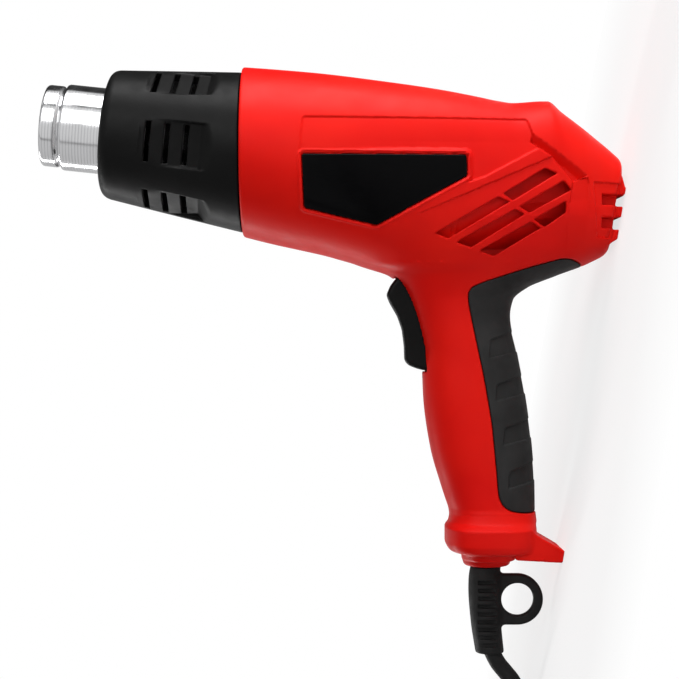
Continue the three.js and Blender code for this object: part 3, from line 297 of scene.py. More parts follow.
def smooth_through(points, steps):
    """Points along a Catmull-Rom curve, steps between each pair."""
    p = np.array([points[0], *points, points[-1]], float)
    out = []
    for i in range(1, len(p) - 2):
        for t in np.arange(steps) / steps:
            a, b, c, d = p[i - 1:i + 3]
            out.append(0.5 * (2 * b + (c - a) * t + (2 * a - 5 * b + 4 * c - d) * t ** 2
                              + (3 * b - a - 3 * c + d) * t ** 3))
    return np.array([*out, p[-1]])


def flex_path():
    steps = round(COIL_TURNS * TURN_STEPS)
    span = COIL_TURNS - 2 * END_TURNS
    coil = [coil_point(END_TURNS + i * span / steps) for i in range(steps + 1)]
    return np.array([*smooth_through(RUN, 4), *coil[1:-1], *smooth_through(TAIL, 4)])


def tube_through(name, points, radius, material):
    data = bpy.data.curves.new(name, "CURVE")
    data.dimensions = "3D"
    data.bevel_depth = radius
    data.bevel_resolution = 6
    data.use_fill_caps = True
    spline = data.splines.new("POLY")
    spline.points.add(len(points) - 1)
    for target, point in zip(spline.points, points):
        target.co = (*point, 1)
    data.materials.append(material)
    piece = bpy.data.objects.new(name, data)
    bpy.context.collection.objects.link(piece)
    return piece


path = flex_path() * MM
flex = tube_through("flex", path, CORD_RADIUS * MM, FLEX_RUBBER)
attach(flex, "gun")
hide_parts("cord_run", "cord_coil", "cord_tail")


# Shapes as distance fields
# A field gives the distance of points from a surface in millimetres, negative inside it.
class Smooth:
    """Monotone cubic through a table, looked up in even steps."""

    STEPS = 1200

    def __init__(self, xs, ys):
        order = np.argsort(xs)
        self.x, self.y = np.asarray(xs, float)[order], np.asarray(ys, float)[order]
        h = np.diff(self.x)
        rise = np.diff(self.y) / h
        slope = np.zeros(len(self.x))
        w1, w2 = 2 * h[1:] + h[:-1], h[1:] + 2 * h[:-1]
        same = rise[:-1] * rise[1:] > 0
        safe = np.where(same, rise[:-1] * rise[1:], 1)
        harmonic = (w1 + w2) * safe / (w1 * rise[1:] + w2 * rise[:-1] + 1e-12 * (~same))
        slope[1:-1] = np.where(same, harmonic, 0)
        slope[0], slope[-1] = rise[0], rise[-1]
        self.slope, self.h = slope, h
        self.fine = np.linspace(self.x[0], self.x[-1], self.STEPS)
        self.values = self.through(self.fine)

    def through(self, at):
        i = np.clip(np.searchsorted(self.x, at, side="right") - 1, 0, len(self.h) - 1)
        t = (at - self.x[i]) / self.h[i]
        h = self.h[i]
        return ((2 * t ** 3 - 3 * t ** 2 + 1) * self.y[i] + (t ** 3 - 2 * t ** 2 + t) * h * self.slope[i]
                + (3 * t ** 2 - 2 * t ** 3) * self.y[i + 1] + (t ** 3 - t ** 2) * h * self.slope[i + 1])

    def __call__(self, at):
        return np.interp(at, self.fine, self.values)


def table(rows):
    """One smooth column for each number after the first."""
    columns = list(zip(*rows))
    return [Smooth(columns[0], column) for column in columns[1:]]


def oval(u, v, a, b, power):
    """Distance from a superellipse, to first order."""
    u, v = np.abs(u) / a + 1e-6, np.abs(v) / b + 1e-6
    total = u ** power + v ** power
    steep = total ** (1 / power - 1) * np.hypot(u ** (power - 1) / a, v ** (power - 1) / b)
    return (total ** (1 / power) - 1) / np.maximum(steep, 0.3 / np.maximum(a, b))


def join(a, b, blend=0.01):
    """Both forms, with a fillet where they meet."""
    h = np.clip(0.5 + 0.5 * (b - a) / blend, 0, 1)
    return b * (1 - h) + a * h - blend * h * (1 - h)


def meet(a, b, blend=0.01):
    """What both forms share, with its edges rounded."""
    return -join(-a, -b, blend)


def cut(a, b, blend=0.01):
    """a without b, with its edges rounded by about half of blend."""
    return meet(a, -b, blend)


def polygon(u, v, corners):
    """Signed distance from a polygon."""
    corners = np.asarray(corners, float)
    nearest = np.full(np.shape(u), np.inf)
    inside = np.zeros(np.shape(u), bool)
    for (ax, ay), (bx, by) in zip(corners, np.roll(corners, -1, axis=0)):
        ex, ey = bx - ax, by - ay
        wx, wy = u - ax, v - ay
        t = np.clip((wx * ex + wy * ey) / max(ex * ex + ey * ey, 1e-9), 0, 1)
        nearest = np.minimum(nearest, (wx - ex * t) ** 2 + (wy - ey * t) ** 2)
        if ay != by:
            inside ^= ((ay > v) != (by > v)) & (u < ex * (v - ay) / ey + ax)
    return np.where(inside, -1, 1) * np.sqrt(nearest)


class Plan:
    """Distance in the side view, looked up in a table."""

    def __init__(self, low, high, distance, pitch=0.25):
        self.low, self.pitch = np.asarray(low, float), pitch
        counts = np.ceil((np.asarray(high) - self.low) / pitch).astype(int) + 1
        u, v = np.meshgrid(*[self.low[k] + np.arange(counts[k]) * pitch for k in range(2)], indexing="ij")
        self.values = distance(u, v)
        self.flat = self.values.ravel()

    def __call__(self, x, z):
        rows, columns = self.values.shape
        u = np.clip((x - self.low[0]) / self.pitch, 0, rows - 1.001)
        v = np.clip((z - self.low[1]) / self.pitch, 0, columns - 1.001)
        i, j = u.astype(np.int32), v.astype(np.int32)
        u, v = u - i, v - j
        at = i * columns + j
        flat = self.flat
        return ((flat[at] * (1 - v) + flat[at + 1] * v) * (1 - u)
                + (flat[at + columns] * (1 - v) + flat[at + columns + 1] * v) * u)


def plan(*outlines, margin=9):
    corners = np.concatenate([np.asarray(o, float) for o in outlines])
    return Plan(corners.min(0) - margin, corners.max(0) + margin,
                lambda u, v: np.minimum.reduce([polygon(u, v, outline) for outline in outlines]))


def discs(places, radius):
    middles = np.asarray(places, float)
    reach = radius + 12
    return Plan(middles.min(0) - reach, middles.max(0) + reach,
                lambda u, v: np.minimum.reduce([np.hypot(u - x, v - z) - radius for x, z in middles]))


def rounded(corners, reach):
    """The outline with a short curve at each corner, starting this far from it."""
    p = np.asarray(corners, float)
    out = []
    for a, b, c in zip(np.roll(p, 1, 0), p, np.roll(p, -1, 0)):
        start = b + (a - b) * min(reach / np.linalg.norm(a - b), 0.5)
        end = b + (c - b) * min(reach / np.linalg.norm(c - b), 0.5)
        for t in np.linspace(0, 1, 6):
            out.append((1 - t) ** 2 * start + 2 * t * (1 - t) * b + t * t * end)
    return out


def slab(x, low, high):
    """Distance from the space between two planes."""
    return np.maximum(low - x, x - high)


def from_segment(p, a, b):
    a, b = np.asarray(a, float), np.asarray(b, float)
    axis = b - a
    t = np.clip(((p - a) @ axis) / (axis @ axis), 0, 1)
    return np.linalg.norm(p - a - t[..., None] * axis, axis=-1)


# Meshes from fields
BLOCK = 8  # cells along a block, which is skipped when its middle is far from the surface
FAR = 9.0  # stands for the distance in what is skipped
BATCH = 400  # blocks worked on at a time


def net(field, low, high, step):
    """Closed quad mesh of the zero surface: cells near it only, corners moved onto the surface."""
    low, high = np.asarray(low, float), np.asarray(high, float)
    blocks = np.ceil((high - low) / (step * BLOCK)).astype(int)
    counts = blocks * BLOCK + 1
    middles = [low[k] + (np.arange(blocks[k]) + 0.5) * step * BLOCK for k in range(3)]
    centres = np.stack(np.meshgrid(*middles, indexing="ij"), -1)
    coarse = field(centres.reshape(-1, 3)).reshape(blocks)
    half_diagonal, steepest = 0.87, 1.45
    near = np.abs(coarse) < step * BLOCK * half_diagonal * steepest
    values = np.empty(counts, np.float32)
    filled = np.where(coarse > 0, FAR, -FAR).astype(np.float32)
    values[:-1, :-1, :-1] = filled.repeat(BLOCK, 0).repeat(BLOCK, 1).repeat(BLOCK, 2)
    values[-1], values[:, -1], values[:, :, -1] = FAR, FAR, FAR
    offsets = np.stack(np.meshgrid(*[np.arange(BLOCK + 1)] * 3, indexing="ij"), -1).reshape(-1, 3)
    kept = np.argwhere(near)
    for start in range(0, len(kept), BATCH):
        nodes = (kept[start:start + BATCH, None, :] * BLOCK + offsets[None]).reshape(-1, 3)
        values[nodes[:, 0], nodes[:, 1], nodes[:, 2]] = field(low + nodes * step)
    values[0], values[:, 0], values[:, :, 0] = FAR, FAR, FAR
    values[-1], values[:, -1], values[:, :, -1] = FAR, FAR, FAR

    inside = values < 0
    corner = [(i, j, k) for i in (0, 1) for j in (0, 1) for k in (0, 1)]
    part = [slice(0, -1), slice(1, None)]
    count = sum(inside[part[i], part[j], part[k]].astype(np.uint8) for i, j, k in corner)
    cells = np.argwhere((count > 0) & (count < 8))
    number = np.full(count.shape, -1, np.int32)
    number[tuple(cells.T)] = np.arange(len(cells))
    at = np.stack([values[tuple((cells + c).T)] for c in np.array(corner)], 1)
    total = np.zeros((len(cells), 3))
    crossings = np.zeros(len(cells))
    for a, ca in enumerate(corner):
        for b, cb in enumerate(corner):
            if a < b and sum(x != y for x, y in zip(ca, cb)) == 1:
                crossed = (at[:, a] < 0) != (at[:, b] < 0)
                t = np.where(crossed, at[:, a] / np.where(crossed, at[:, a] - at[:, b], 1), 0)
                point = np.array(ca) + t[:, None] * (np.array(cb) - np.array(ca))
                total += point * crossed[:, None]
                crossings += crossed
    points = low + (cells + total / crossings[:, None]) * step

    quads = []
    for axis in range(3):
        first, second = [(1, 2), (2, 0), (0, 1)][axis]
        ahead = [slice(None)] * 3
        ahead[axis] = slice(1, None)
        behind = [slice(None)] * 3
        behind[axis] = slice(0, -1)
        change = inside[tuple(behind)] != inside[tuple(ahead)]
        edges = np.argwhere(change)
        edges = edges[(edges[:, first] > 0) & (edges[:, second] > 0)
                      & (edges[:, first] < counts[first] - 1) & (edges[:, second] < counts[second] - 1)]
        ring = []
        for d1, d2 in [(-1, -1), (0, -1), (0, 0), (-1, 0)]:
            cell = edges.copy()
            cell[:, first] += d1
            cell[:, second] += d2
            ring.append(number[tuple(cell.T)])
        quad = np.stack(ring, 1)
        flip = ~inside[tuple(edges.T)]
        quad[flip] = quad[flip][:, ::-1]
        quads.append(quad)
    quads = np.concatenate(quads)

    small = 0.05
    for _ in range(3):
        value = field(points)
        slope = np.stack([(field(points + d) - field(points - d)) / (2 * small)
                          for d in np.eye(3) * small], 1)
        move = slope * (value / np.maximum((slope ** 2).sum(1), 0.25))[:, None]
        size = np.linalg.norm(move, axis=1)
        points -= move * np.minimum(1, 0.5 * step / np.maximum(size, 1e-9))[:, None]
    slope /= np.maximum(np.linalg.norm(slope, axis=1), 1e-9)[:, None]
    return points, quads, slope


# The gun's forms
SEAT = 0.3  # clearance round a piece in its seat
WALL = 2.5
HALF_GAP = 0.15  # from the parting plane to each shell
SEAM_Z = 162.5  # where the shells end at the barrel
SEAM_X = 26.15
HANDLE_SPAN = (-131, -8)  # from inside the flange to inside the body
HANDLE_END = -148.2
FLANGE_TOP = -128.2
CORD_Z = 58
LABEL_DEPTH = 0.9
GRIP_DEPTH = 2.2
TRIGGER_PIVOT = (-47, 82)
TRIGGER_HALF = 7
END_OFF = 3  # from the standing plane to the tail's end face
TOOTH_HALF = 16
TOOTH_GAPS = (4.15, -5.4)  # middles of the gaps between the teeth
GAP_HALF, NOTCH_HALF = 1.5, 2.3
NOTCH_DEPTH = 14  # from the middle plane to the notches between the teeth
NOTCH_TOP = 12
SCREEN_DEPTH = 6.2
SLOT_DEPTH = 3.4  # of the intake slots, which cut the wall only
DUCT_RADIUS = 26.75
RIBS = [(70, 72.4), (110, 112.4)]  # where ribs hold the duct, along its axis
SCREWS = [(52, 139), (-6.5, 133), (33, 31), (-9, 16), (-86, 74.5), (-124, 67.5)]
CLAMP_SCREWS = [(-106, 49.5), (-106, 66.5)]
SCREW_POST, HEAD_POST = 4, 5.3  # radii in the left half and the right
SCREW_HOLE, SCREW_HEAD = 1.9, 3.7
CLAMP_POST, CLAMP_HOLE = 3.2, 1.7
HEAD_SEAT = 8  # from the parting plane to the seats of the screws' heads
COLLAR_RADIUS = 10.2  # of the collar round the flex
RELIEF_SEAT, RELIEF_HOLE = 9.1, 6.6  # radii of the bend protector's seat and way out
RIDGE_HEIGHT, RIDGE_OFF, RIDGE_WIDTH = 0.4, 1.5, 0.45  # of the line round the label

# z, top line, bottom line, half width, squareness
BODY = table([
    (1, 21.4, -9, 19.2, 3), (7, 26.8, -17, 21.4, 3), (12, 30.9, -18.8, 23.6, 2.9),
    (20, 37.2, -20.2, 27.6, 2.8), (27.7, 43.2, -21.2, 28.8, 2.7), (33, 47.4, -22, 29.5, 2.7),
    (35, 47.4, -22.3, 29.7, 2.7), (47.7, 46.7, -23.7, 30.7, 2.6), (53, 47.4, -24.2, 31.2, 2.6),
    (64, 49.7, -24.9, 32.1, 2.55), (78, 52.4, -25.4, 33, 2.5), (104, 56.3, -23.8, 34.6, 2.35),
    (130, 59.6, -17.6, 35.7, 2.2), (150.5, 61.5, -13.1, 36.1, 2.05), (162.5, 62.4, -10.1, 36.25, 2),
])
# x, back line, front line, half width, squareness
HANDLE = table([
    (-8, 6, 112, 25, 2.3), (-15, 8, 112, 25.6, 2.3), (-21.7, 15.8, 109.5, 23.8, 2.3),
    (-26.9, 28.3, 99, 21.2, 2.3), (-32, 40.6, 95, 19, 2.3), (-37.2, 46.7, 92.4, 17.6, 2.3),
    (-44, 48, 89.8, 17.2, 2.3), (-60.8, 44.8, 86.1, 17.4, 2.3), (-80.2, 41.2, 85.1, 18, 2.4),
    (-100.8, 38.6, 82.1, 18, 2.4), (-116.3, 37.6, 77.7, 17.8, 2.4), (-129.2, 37.5, 73.4, 18, 2.5),
])
FLANGE = table([
    (-128.2, 38.2, 73, 17.6, 2.5), (-131.6, 37.4, 74, 19.6, 2.7), (-133.9, 37.2, 75.5, 22.3, 3),
    (-134.5, 37.1, 75.8, 22.9, 3), (-135.1, 37.1, 75.8, 23, 3), (-140.4, 37.1, 75.8, 23, 3),
    (-143.6, 37.8, 74.4, 22.2, 3), (-144.8, 40.5, 71.5, 20, 3), (-145.4, 45, 69, 17, 2.7),
    (-148.2, 46, 68.4, 16, 2.5),
])


def body_round(x, y, z):
    top, bottom, half, power = (column(z) for column in BODY)
    return oval(x - (top + bottom) / 2, y, (top - bottom) / 2, half, power)


def across_x(columns, x, y, z):
    back, front, half, power = (column(x) for column in columns)
    return oval(z - (back + front) / 2, y, (front - back) / 2, half, power)


def behind_tail(x, z):
    """How far a point stands behind the tail's end face."""
    return (STAND_OFF + END_OFF) * math.cos(LEAN) - x * math.sin(LEAN) - z * math.cos(LEAN)


def skin_from(body, handle, x, z):
    ends = meet(meet(body, behind_tail(x, z), 2.5), z - SEAM_Z, 1.2)
    return join(ends, meet(handle, slab(x, *HANDLE_SPAN)), 7)


def skin(x, y, z):
    return skin_from(body_round(x, y, z), across_x(HANDLE, x, y, z), x, z)


def rest_z(x):
    return STAND_OFF - x * math.tan(LEAN)


# An outline on the tool's side was read in the middle plane. It shrinks towards the camera's aim by the
# share of the distance at which that side stands.
FLANK, TAIL_FLANK, GRIP_FLANK = 0.957, 0.965, 0.978


def nearer(share, corners):
    return [(AIM[0] + (x - AIM[0]) * share, AIM[2] + (z - AIM[2]) * share) for x, z in corners]


GRIP = plan(rounded(nearer(GRIP_FLANK, [
    (-32.7, 66.4), (-41, 65.3), (-69.7, 59.2), (-90.3, 55.7), (-111, 53.7), (-123.5, 52.7), (-127.6, 49),
    (-129, 42), (-129, 22), (-50, 22), (-26, 8), (-21.4, 17), (-19.2, 24), (-23, 38.3), (-29.6, 59.2),
]), 4))
LABEL = plan(rounded(nearer(FLANK, [(25, 137.3), (25, 66.7), (16, 66.5), (-5, 105.2), (2.5, 136.4)]), 1))
PANEL = plan(rounded(nearer(FLANK, [
    (41.2, 137), (41, 40), (34.4, 37.9), (30.7, 38.8), (29, 34.2), (15.8, 58.7), (13.2, 66), (25, 66),
    (25, 138.4),
]), 1.2))
VALLEY_START = (34.4, 37.9)
VALLEY = plan(rounded(nearer(FLANK, [
    VALLEY_START, (16.4, 14.3), (13.8, 20.8), (24.6, 29.6), (29.2, 36.2), (30.7, 38.8),
]), 0.5))
VALLEY_EDGE = nearer(FLANK, [VALLEY_START])[0]
VALLEY_ACROSS = (-0.795, 0.606)
PAD_START = (24.5, 29.8)
PAD = plan(rounded(nearer(FLANK, [
    PAD_START, (1.85, 82.2), (-3.5, 95), (-20, 95), (-20, 22.7), (-0.3, 22.7), (13.8, 20.8),
]), 0.8))
PAD_EDGE = nearer(FLANK, [PAD_START])[0]
PAD_ACROSS = (-0.918, -0.397)
FACET = plan(rounded(nearer(FLANK, [
    (13.8, 20.8), (15.7, 14), (13, 13.5), (-3, 13.5), (-3, 22.7), (-0.3, 22.7),
]), 0.5))
TOOTH_BLOCK = plan(nearer(TAIL_FLANK, [(13.4, 12.2), (13.2, -6), (-11, -6), (-9.8, 10)]))
SLOT_CORNERS = [
    [(8.5, 50.9), (19.7, 32.6), (17.4, 27.5), (5.6, 46.6)],
    [(-8.3, 80.1), (7.1, 53.1), (4.95, 48.25), (-10.55, 74.2)],
    [(3.1, 43.8), (14.3, 24.6), (10.35, 21.3), (0.3, 39.4)],
    [(-12.1, 70.8), (1.85, 45.65), (-0.3, 41.6), (-14.3, 64.3)],
    [(-2.5, 37.6), (5.6, 23.6), (0.6, 23.6), (-5.6, 32.6)],
    [(-15.8, 60.8), (-3.4, 38.8), (-6.05, 34.5), (-18, 54.3)],
]
INTAKE_SLOTS = plan(*[rounded(nearer(FLANK, corners), 0.4) for corners in SLOT_CORNERS])


def pivot_distance(x, z):
    return np.hypot(x - TRIGGER_PIVOT[0], z - TRIGGER_PIVOT[1])


def pivot_arc(radius, start, end, steps):
    angles = np.radians(np.linspace(start, end, steps + 1))
    return [(TRIGGER_PIVOT[0] + radius * math.sin(a), TRIGGER_PIVOT[1] + radius * math.cos(a))
            for a in angles]


TRIGGER_UPPER, TRIGGER_LOWER = 24.2, 20.6  # from the pivot to the trigger's ends
END_GAP = 0.5
TRIGGER_SLOT = plan([
    *pivot_arc(TRIGGER_UPPER + END_GAP, 92, 30, 12), (-41, 112), (-69, 104),
    *pivot_arc(TRIGGER_LOWER + END_GAP, -50, -92, 8),
])
HEEL = plan([
    (-134.6, 41), (-137.6, 36.4), (-143.4, rest_z(-143.4)), (-148.4, rest_z(-148.4)), (-146.8, 47),
    (-140, 52),
])


def gap_z(x):
    return rest_z(x) + END_OFF + 0.8


TEETH = plan([
    (15, 12), (14.4, rest_z(14.4) + END_OFF - 0.6), (10.2, rest_z(10.2) + 0.6), (9.4, rest_z(9.4)),
    (6.4, rest_z(6.4)), (6.4, gap_z(6.4)), (1.9, gap_z(1.9)), (1.9, rest_z(1.9)), (-2.9, rest_z(-2.9)),
    (-2.9, gap_z(-2.9)), (-7.9, gap_z(-7.9)), (-7.9, rest_z(-7.9)), (-12, rest_z(-12)),
    (-14, rest_z(-14) + END_OFF), (-14, 13),
])


def duct_frame(x, z):
    c, s = math.cos(TILT), math.sin(TILT)
    return (x - DUCT_X) * c - z * s, (x - DUCT_X) * s + z * c


def standing_inside(x, y, z, body):
    """Ribs, pads, bosses and the webs of the screens, which stand in the hollow."""
    out = np.abs(y)
    u, w = duct_frame(x, z)
    ribs = np.minimum(*[slab(w, *span) for span in RIBS])
    ribs = np.maximum(ribs, DUCT_RADIUS + SEAT - np.hypot(u, y))
    wire_notch = np.maximum(np.maximum(slab(x, -40, -7), out - 8), slab(z, 40, 122))
    hook = np.maximum(slab(z, 156.7, 159.3), 31.5 - np.hypot(x - SEAM_X, y))
    switch_pads = np.maximum(np.maximum(slab(x, -50, -44), slab(z, 60, 72)), 9.8 - out)
    pivot_boss = np.maximum(pivot_distance(x, z) - 4.4, 7.6 - out)
    flex_stop = np.maximum(slab(x, -142.6, -140.6), 5.2 - np.hypot(y, z - CORD_Z))
    web = np.maximum(slab(-body, SCREEN_DEPTH, SCREEN_DEPTH + 1.4), 12 - out)
    web = np.maximum(web, np.maximum(slab(x, -22, -1), slab(z, 70, 86)))
    # The shutter starts along the slanted bar between the slots
    bar_z, bar_slope, bar_cosine = 48, 1.306, 0.608
    beyond_bar = np.maximum(bar_cosine * (bar_z + bar_slope * x - z), z - 84)
    shutter = np.maximum(slab(-body, SCREEN_DEPTH - 2.6, SCREEN_DEPTH - 1.2), 12 - out)
    shutter = np.maximum(shutter, np.maximum(slab(x, -16.5, 11), beyond_bar))
    tail_blocks = np.maximum(np.maximum(slab(x, -13, 12), NOTCH_DEPTH - 2.5 - out), z - NOTCH_TOP - 2.5)
    return np.minimum.reduce([
        np.maximum(ribs, -wire_notch), hook, switch_pads, pivot_boss, flex_stop, web, shutter, tail_blocks,
    ])


def past(edge, across, x, z):
    """How far a point lies past an edge, along the way across it."""
    return (x - edge[0]) * across[0] + (z - edge[1]) * across[1]


def moulded(side, x, y, z, outer):
    """The skin with its flange, collar, heel and teeth, less what is sunk into it."""
    out = np.abs(y)
    form = join(outer, meet(across_x(FLANGE, x, y, z), slab(x, HANDLE_END, FLANGE_TOP), 1), 2.5)
    collar = meet(np.hypot(y, z - CORD_Z) - COLLAR_RADIUS, slab(x, -151.2, -143), 2.4)
    form = join(form, collar, 1.5)
    heel_half = 13 + 0.2 * (np.clip(z, 20, 60) - 20)
    form = join(form, meet(HEEL(x, z), out - heel_half, 0.7), 1.4)
    form = join(form, meet(TEETH(x, z), out - TOOTH_HALF, 0.8), 1)
    form = cut(form, np.maximum(GRIP(x, z) - SEAT, -GRIP_DEPTH - SEAT - outer), 0.5)
    label = LABEL(x, z)
    fall = np.clip((36 - x) / 9, 0, 1) * np.clip((118 - z) / 30, 0, 1) * np.clip((label - 1.6) / 1.4, 0, 1)
    panel = meet(PANEL(x, z), -0.6 - 0.9 * fall - outer, 0.6)
    form = cut(form, np.maximum(panel, 5 - out), 0.7)
    valley_depth = 0.3 + 1.05 * np.clip(past(VALLEY_EDGE, VALLEY_ACROSS, x, z), 0, 2.9)
    form = cut(form, np.maximum(VALLEY(x, z), -valley_depth - outer), 0.6)
    pad_depth = 0.75 * np.clip(1 - past(PAD_EDGE, PAD_ACROSS, x, z) / 16, 0, 1)
    pad_depth = pad_depth * np.clip((92 - z) / 16, 0, 1)
    form = cut(form, np.maximum(PAD(x, z), -pad_depth - outer), 0.4)
    facet_depth = 0.8 * np.clip((x + 3) / 7, 0, 1)
    form = cut(form, np.maximum(FACET(x, z), -facet_depth - outer), 0.35)
    block = np.maximum(TOOTH_BLOCK(x, z), np.maximum(-0.9 - outer, TOOTH_HALF + 1 - out))
    form = cut(form, block, 0.5)
    if side < 0:
        form = form - RIDGE_HEIGHT * np.exp(-((label - RIDGE_OFF) / RIDGE_WIDTH) ** 2)
    return form


def hollow(x, y, z, body, handle):
    """The space inside the wall, which is thicker behind what is sunk into it."""
    behind_grip = np.clip(0.5 - (GRIP(x, z) - 1.5) / 3, 0, 1)
    behind_valley = np.clip(0.5 - (VALLEY(x, z) - 1.5) / 3, 0, 1)
    behind_panel = np.clip(0.5 - (PANEL(x, z) - 1) / 2, 0, 1)
    on_flank = np.clip((np.abs(y) - 5) / 3, 0, 1)
    thick = WALL + (GRIP_DEPTH + SEAT) * behind_grip
    thick = thick + np.maximum(3.2 * behind_valley, 1.3 * behind_panel) * on_flank
    inner = meet(body + thick, behind_tail(x, z) + WALL, 2)
    space = join(inner, meet(handle + thick, slab(x, HANDLE_END + 5.6, HANDLE_SPAN[1])), 5)
    relief_seat = np.hypot(y, z - CORD_Z) - RELIEF_SEAT
    return np.minimum(space, np.maximum(relief_seat, slab(x, HANDLE_END + WALL, -138)))


def opened(shell, x, y, z, body):
    """The shell with its intake slots, gaps in the tail, trigger's slot and pivot, and the flex's way out."""
    out = np.abs(y)
    slots = np.maximum(INTAKE_SLOTS(x, z), np.maximum(14 - out, -SLOT_DEPTH - body))
    shell = cut(shell, slots, 0.5)
    gap = np.minimum(*[np.abs(x - middle) for middle in TOOTH_GAPS])
    through = np.maximum(gap - GAP_HALF, np.abs(out - 6.75) - 4.25)
    shell = cut(shell, np.maximum(through, z - 14), 0.4)
    notch = np.maximum(gap - NOTCH_HALF, NOTCH_DEPTH - out)
    shell = cut(shell, np.maximum(notch, z - NOTCH_TOP), 0.7)
    shell = cut(shell, np.maximum(TRIGGER_SLOT(x, z), out - TRIGGER_HALF - END_GAP), 0.6)
    shell = np.maximum(shell, -np.maximum(pivot_distance(x, z) - 2.3, out - 10.5))
    return cut(shell, np.maximum(np.hypot(y, z - CORD_Z) - RELIEF_HOLE, x + 140.2), 0.6)


def housing(side):
    """One moulded half: side is -1 for the left, with the label's seat, and 1 for the right."""
    posts = discs(SCREWS, SCREW_POST if side < 0 else HEAD_POST)
    holes, heads = discs(SCREWS, SCREW_HOLE), discs(SCREWS, SCREW_HEAD)
    clamp_posts, clamp_holes = discs(CLAMP_SCREWS, CLAMP_POST), discs(CLAMP_SCREWS, CLAMP_HOLE)

    def field(p):
        x, y, z = p.T
        across = side * y
        body, handle = body_round(x, y, z), across_x(HANDLE, x, y, z)
        outer = skin_from(body, handle, x, z)
        keep = np.minimum(standing_inside(x, y, z, body), posts(x, z))
        space = hollow(x, y, z, body, handle)
        shell = np.maximum(moulded(side, x, y, z, outer), -np.maximum(space, -keep))
        shell = opened(shell, x, y, z, body)
        screw_holes = np.maximum(holes(x, z), across - 9)
        if side < 0:
            shell = cut(shell, np.maximum(LABEL(x, z) - SEAT, -LABEL_DEPTH - SEAT - outer), 0.45)
            shell = np.maximum(shell, -screw_holes)
        else:
            shell = cut(shell, screw_holes, 0.3)
            shell = cut(shell, np.maximum(heads(x, z), HEAD_SEAT - across), 0.6)
        shell = meet(shell, HALF_GAP - across, 0.35)
        if side < 0:
            pins = np.maximum(np.maximum(clamp_posts(x, z), y - 3.5), outer + 3.2)
            shell = np.maximum(np.minimum(shell, pins), -np.maximum(clamp_holes(x, z), -9 - y))
        return shell

    return field


# top, bottom and front of each finger groove
GROOVE_PLACES = [(-54.4, -62.3, 56.4), (-73.7, -80.6, 53.6), (-92.4, -99.7, 50.3), (-111, -118.2, 48.1)]
GROOVES = plan(*[rounded(nearer(GRIP_FLANK, [
    (top + 5.4, 28), (top + 3.6, front - 11), (top, front), (bottom, front + 0.6),
    (bottom + 2.6, front - 11), (bottom + 4, 28),
]), 0.8) for top, bottom, front in GROOVE_PLACES])


def grip_pad(side):
    def field(p):
        x, y, z = p.T
        outer = skin(x, y, z)
        pad = meet(meet(GRIP(x, z), outer, 0.7), -GRIP_DEPTH - outer)
        depth = 0.3 + 0.9 * np.clip((np.abs(y) - 5) / 5, 0, 1)
        pad = cut(pad, meet(GROOVES(x, z), -depth - outer, 0.4), 0.5)
        return meet(pad, HALF_GAP - side * y, 0.35)

    return field


def label_plate(p):
    x, y, z = p.T
    outer = skin(x, y, z)
    return np.maximum(meet(meet(LABEL(x, z), outer, 0.5), -LABEL_DEPTH - outer), y + 5)


# Barrel
BARREL_BACK = np.array([SEAM_X - 0.2, SEAM_Z + SEAT])
BARREL_FRONT = 222.2
NOSE_OFFSET = -1.0  # the barrel's nose from the duct's axis
BARREL_NOSE = np.array([
    DUCT_X + BARREL_FRONT * math.sin(TILT) + NOSE_OFFSET * math.cos(TILT),
    BARREL_FRONT * math.cos(TILT) - NOSE_OFFSET * math.sin(TILT),
])
BARREL_RADIUS, BARREL_NOSE_RADIUS = 34.2, 27.2
BARREL_LENGTH = float(np.linalg.norm(BARREL_NOSE - BARREL_BACK))
NOSE_HOLE = 19  # radius
# share of the length, radius of the hollow
HOLLOW_RADIUS = table([
    (-0.1, 30.4), (0.1, 30.4), (0.25, 26.7), (0.8, 26.7), (0.963, 23.5), (1.1, 23.5),
])[0]
SPIGOT = plan([
    (29.7, 153.4), (32.7, 153.4), (32.7, 156.4), (31.2, 156.4), (31.2, 159.6), (32.7, 159.6), (32.7, 163.7),
    (29.7, 163.7),
])
POCKET_OFFSET = -2.0  # the ring of pockets from the duct's axis
POCKET_TURN = math.radians(-7)
POCKET_HALF = 9.4
POCKET = plan([(28.9, 204.2), (28.9, 179.2), (34.4, 172.6), (50, 172.6), (50, 204.2)], margin=14)
FRONT_SLOT, SLOT_PITCH, SLOT_HALF, SLOT_REACH = 201.2, 8, 1.1, 8.3  # of the three slots in each pocket


def from_bent_axis(x, z, share):
    """Distances along and across the barrel's axis, which bends, from the point at this share of it."""
    turn = TILT * np.clip(share, 0, 1)
    u = x - BARREL_BACK[0] - share * (BARREL_NOSE[0] - BARREL_BACK[0])
    w = z - BARREL_BACK[1] - share * (BARREL_NOSE[1] - BARREL_BACK[1])
    return u * np.sin(turn) + w * np.cos(turn), u * np.cos(turn) - w * np.sin(turn)


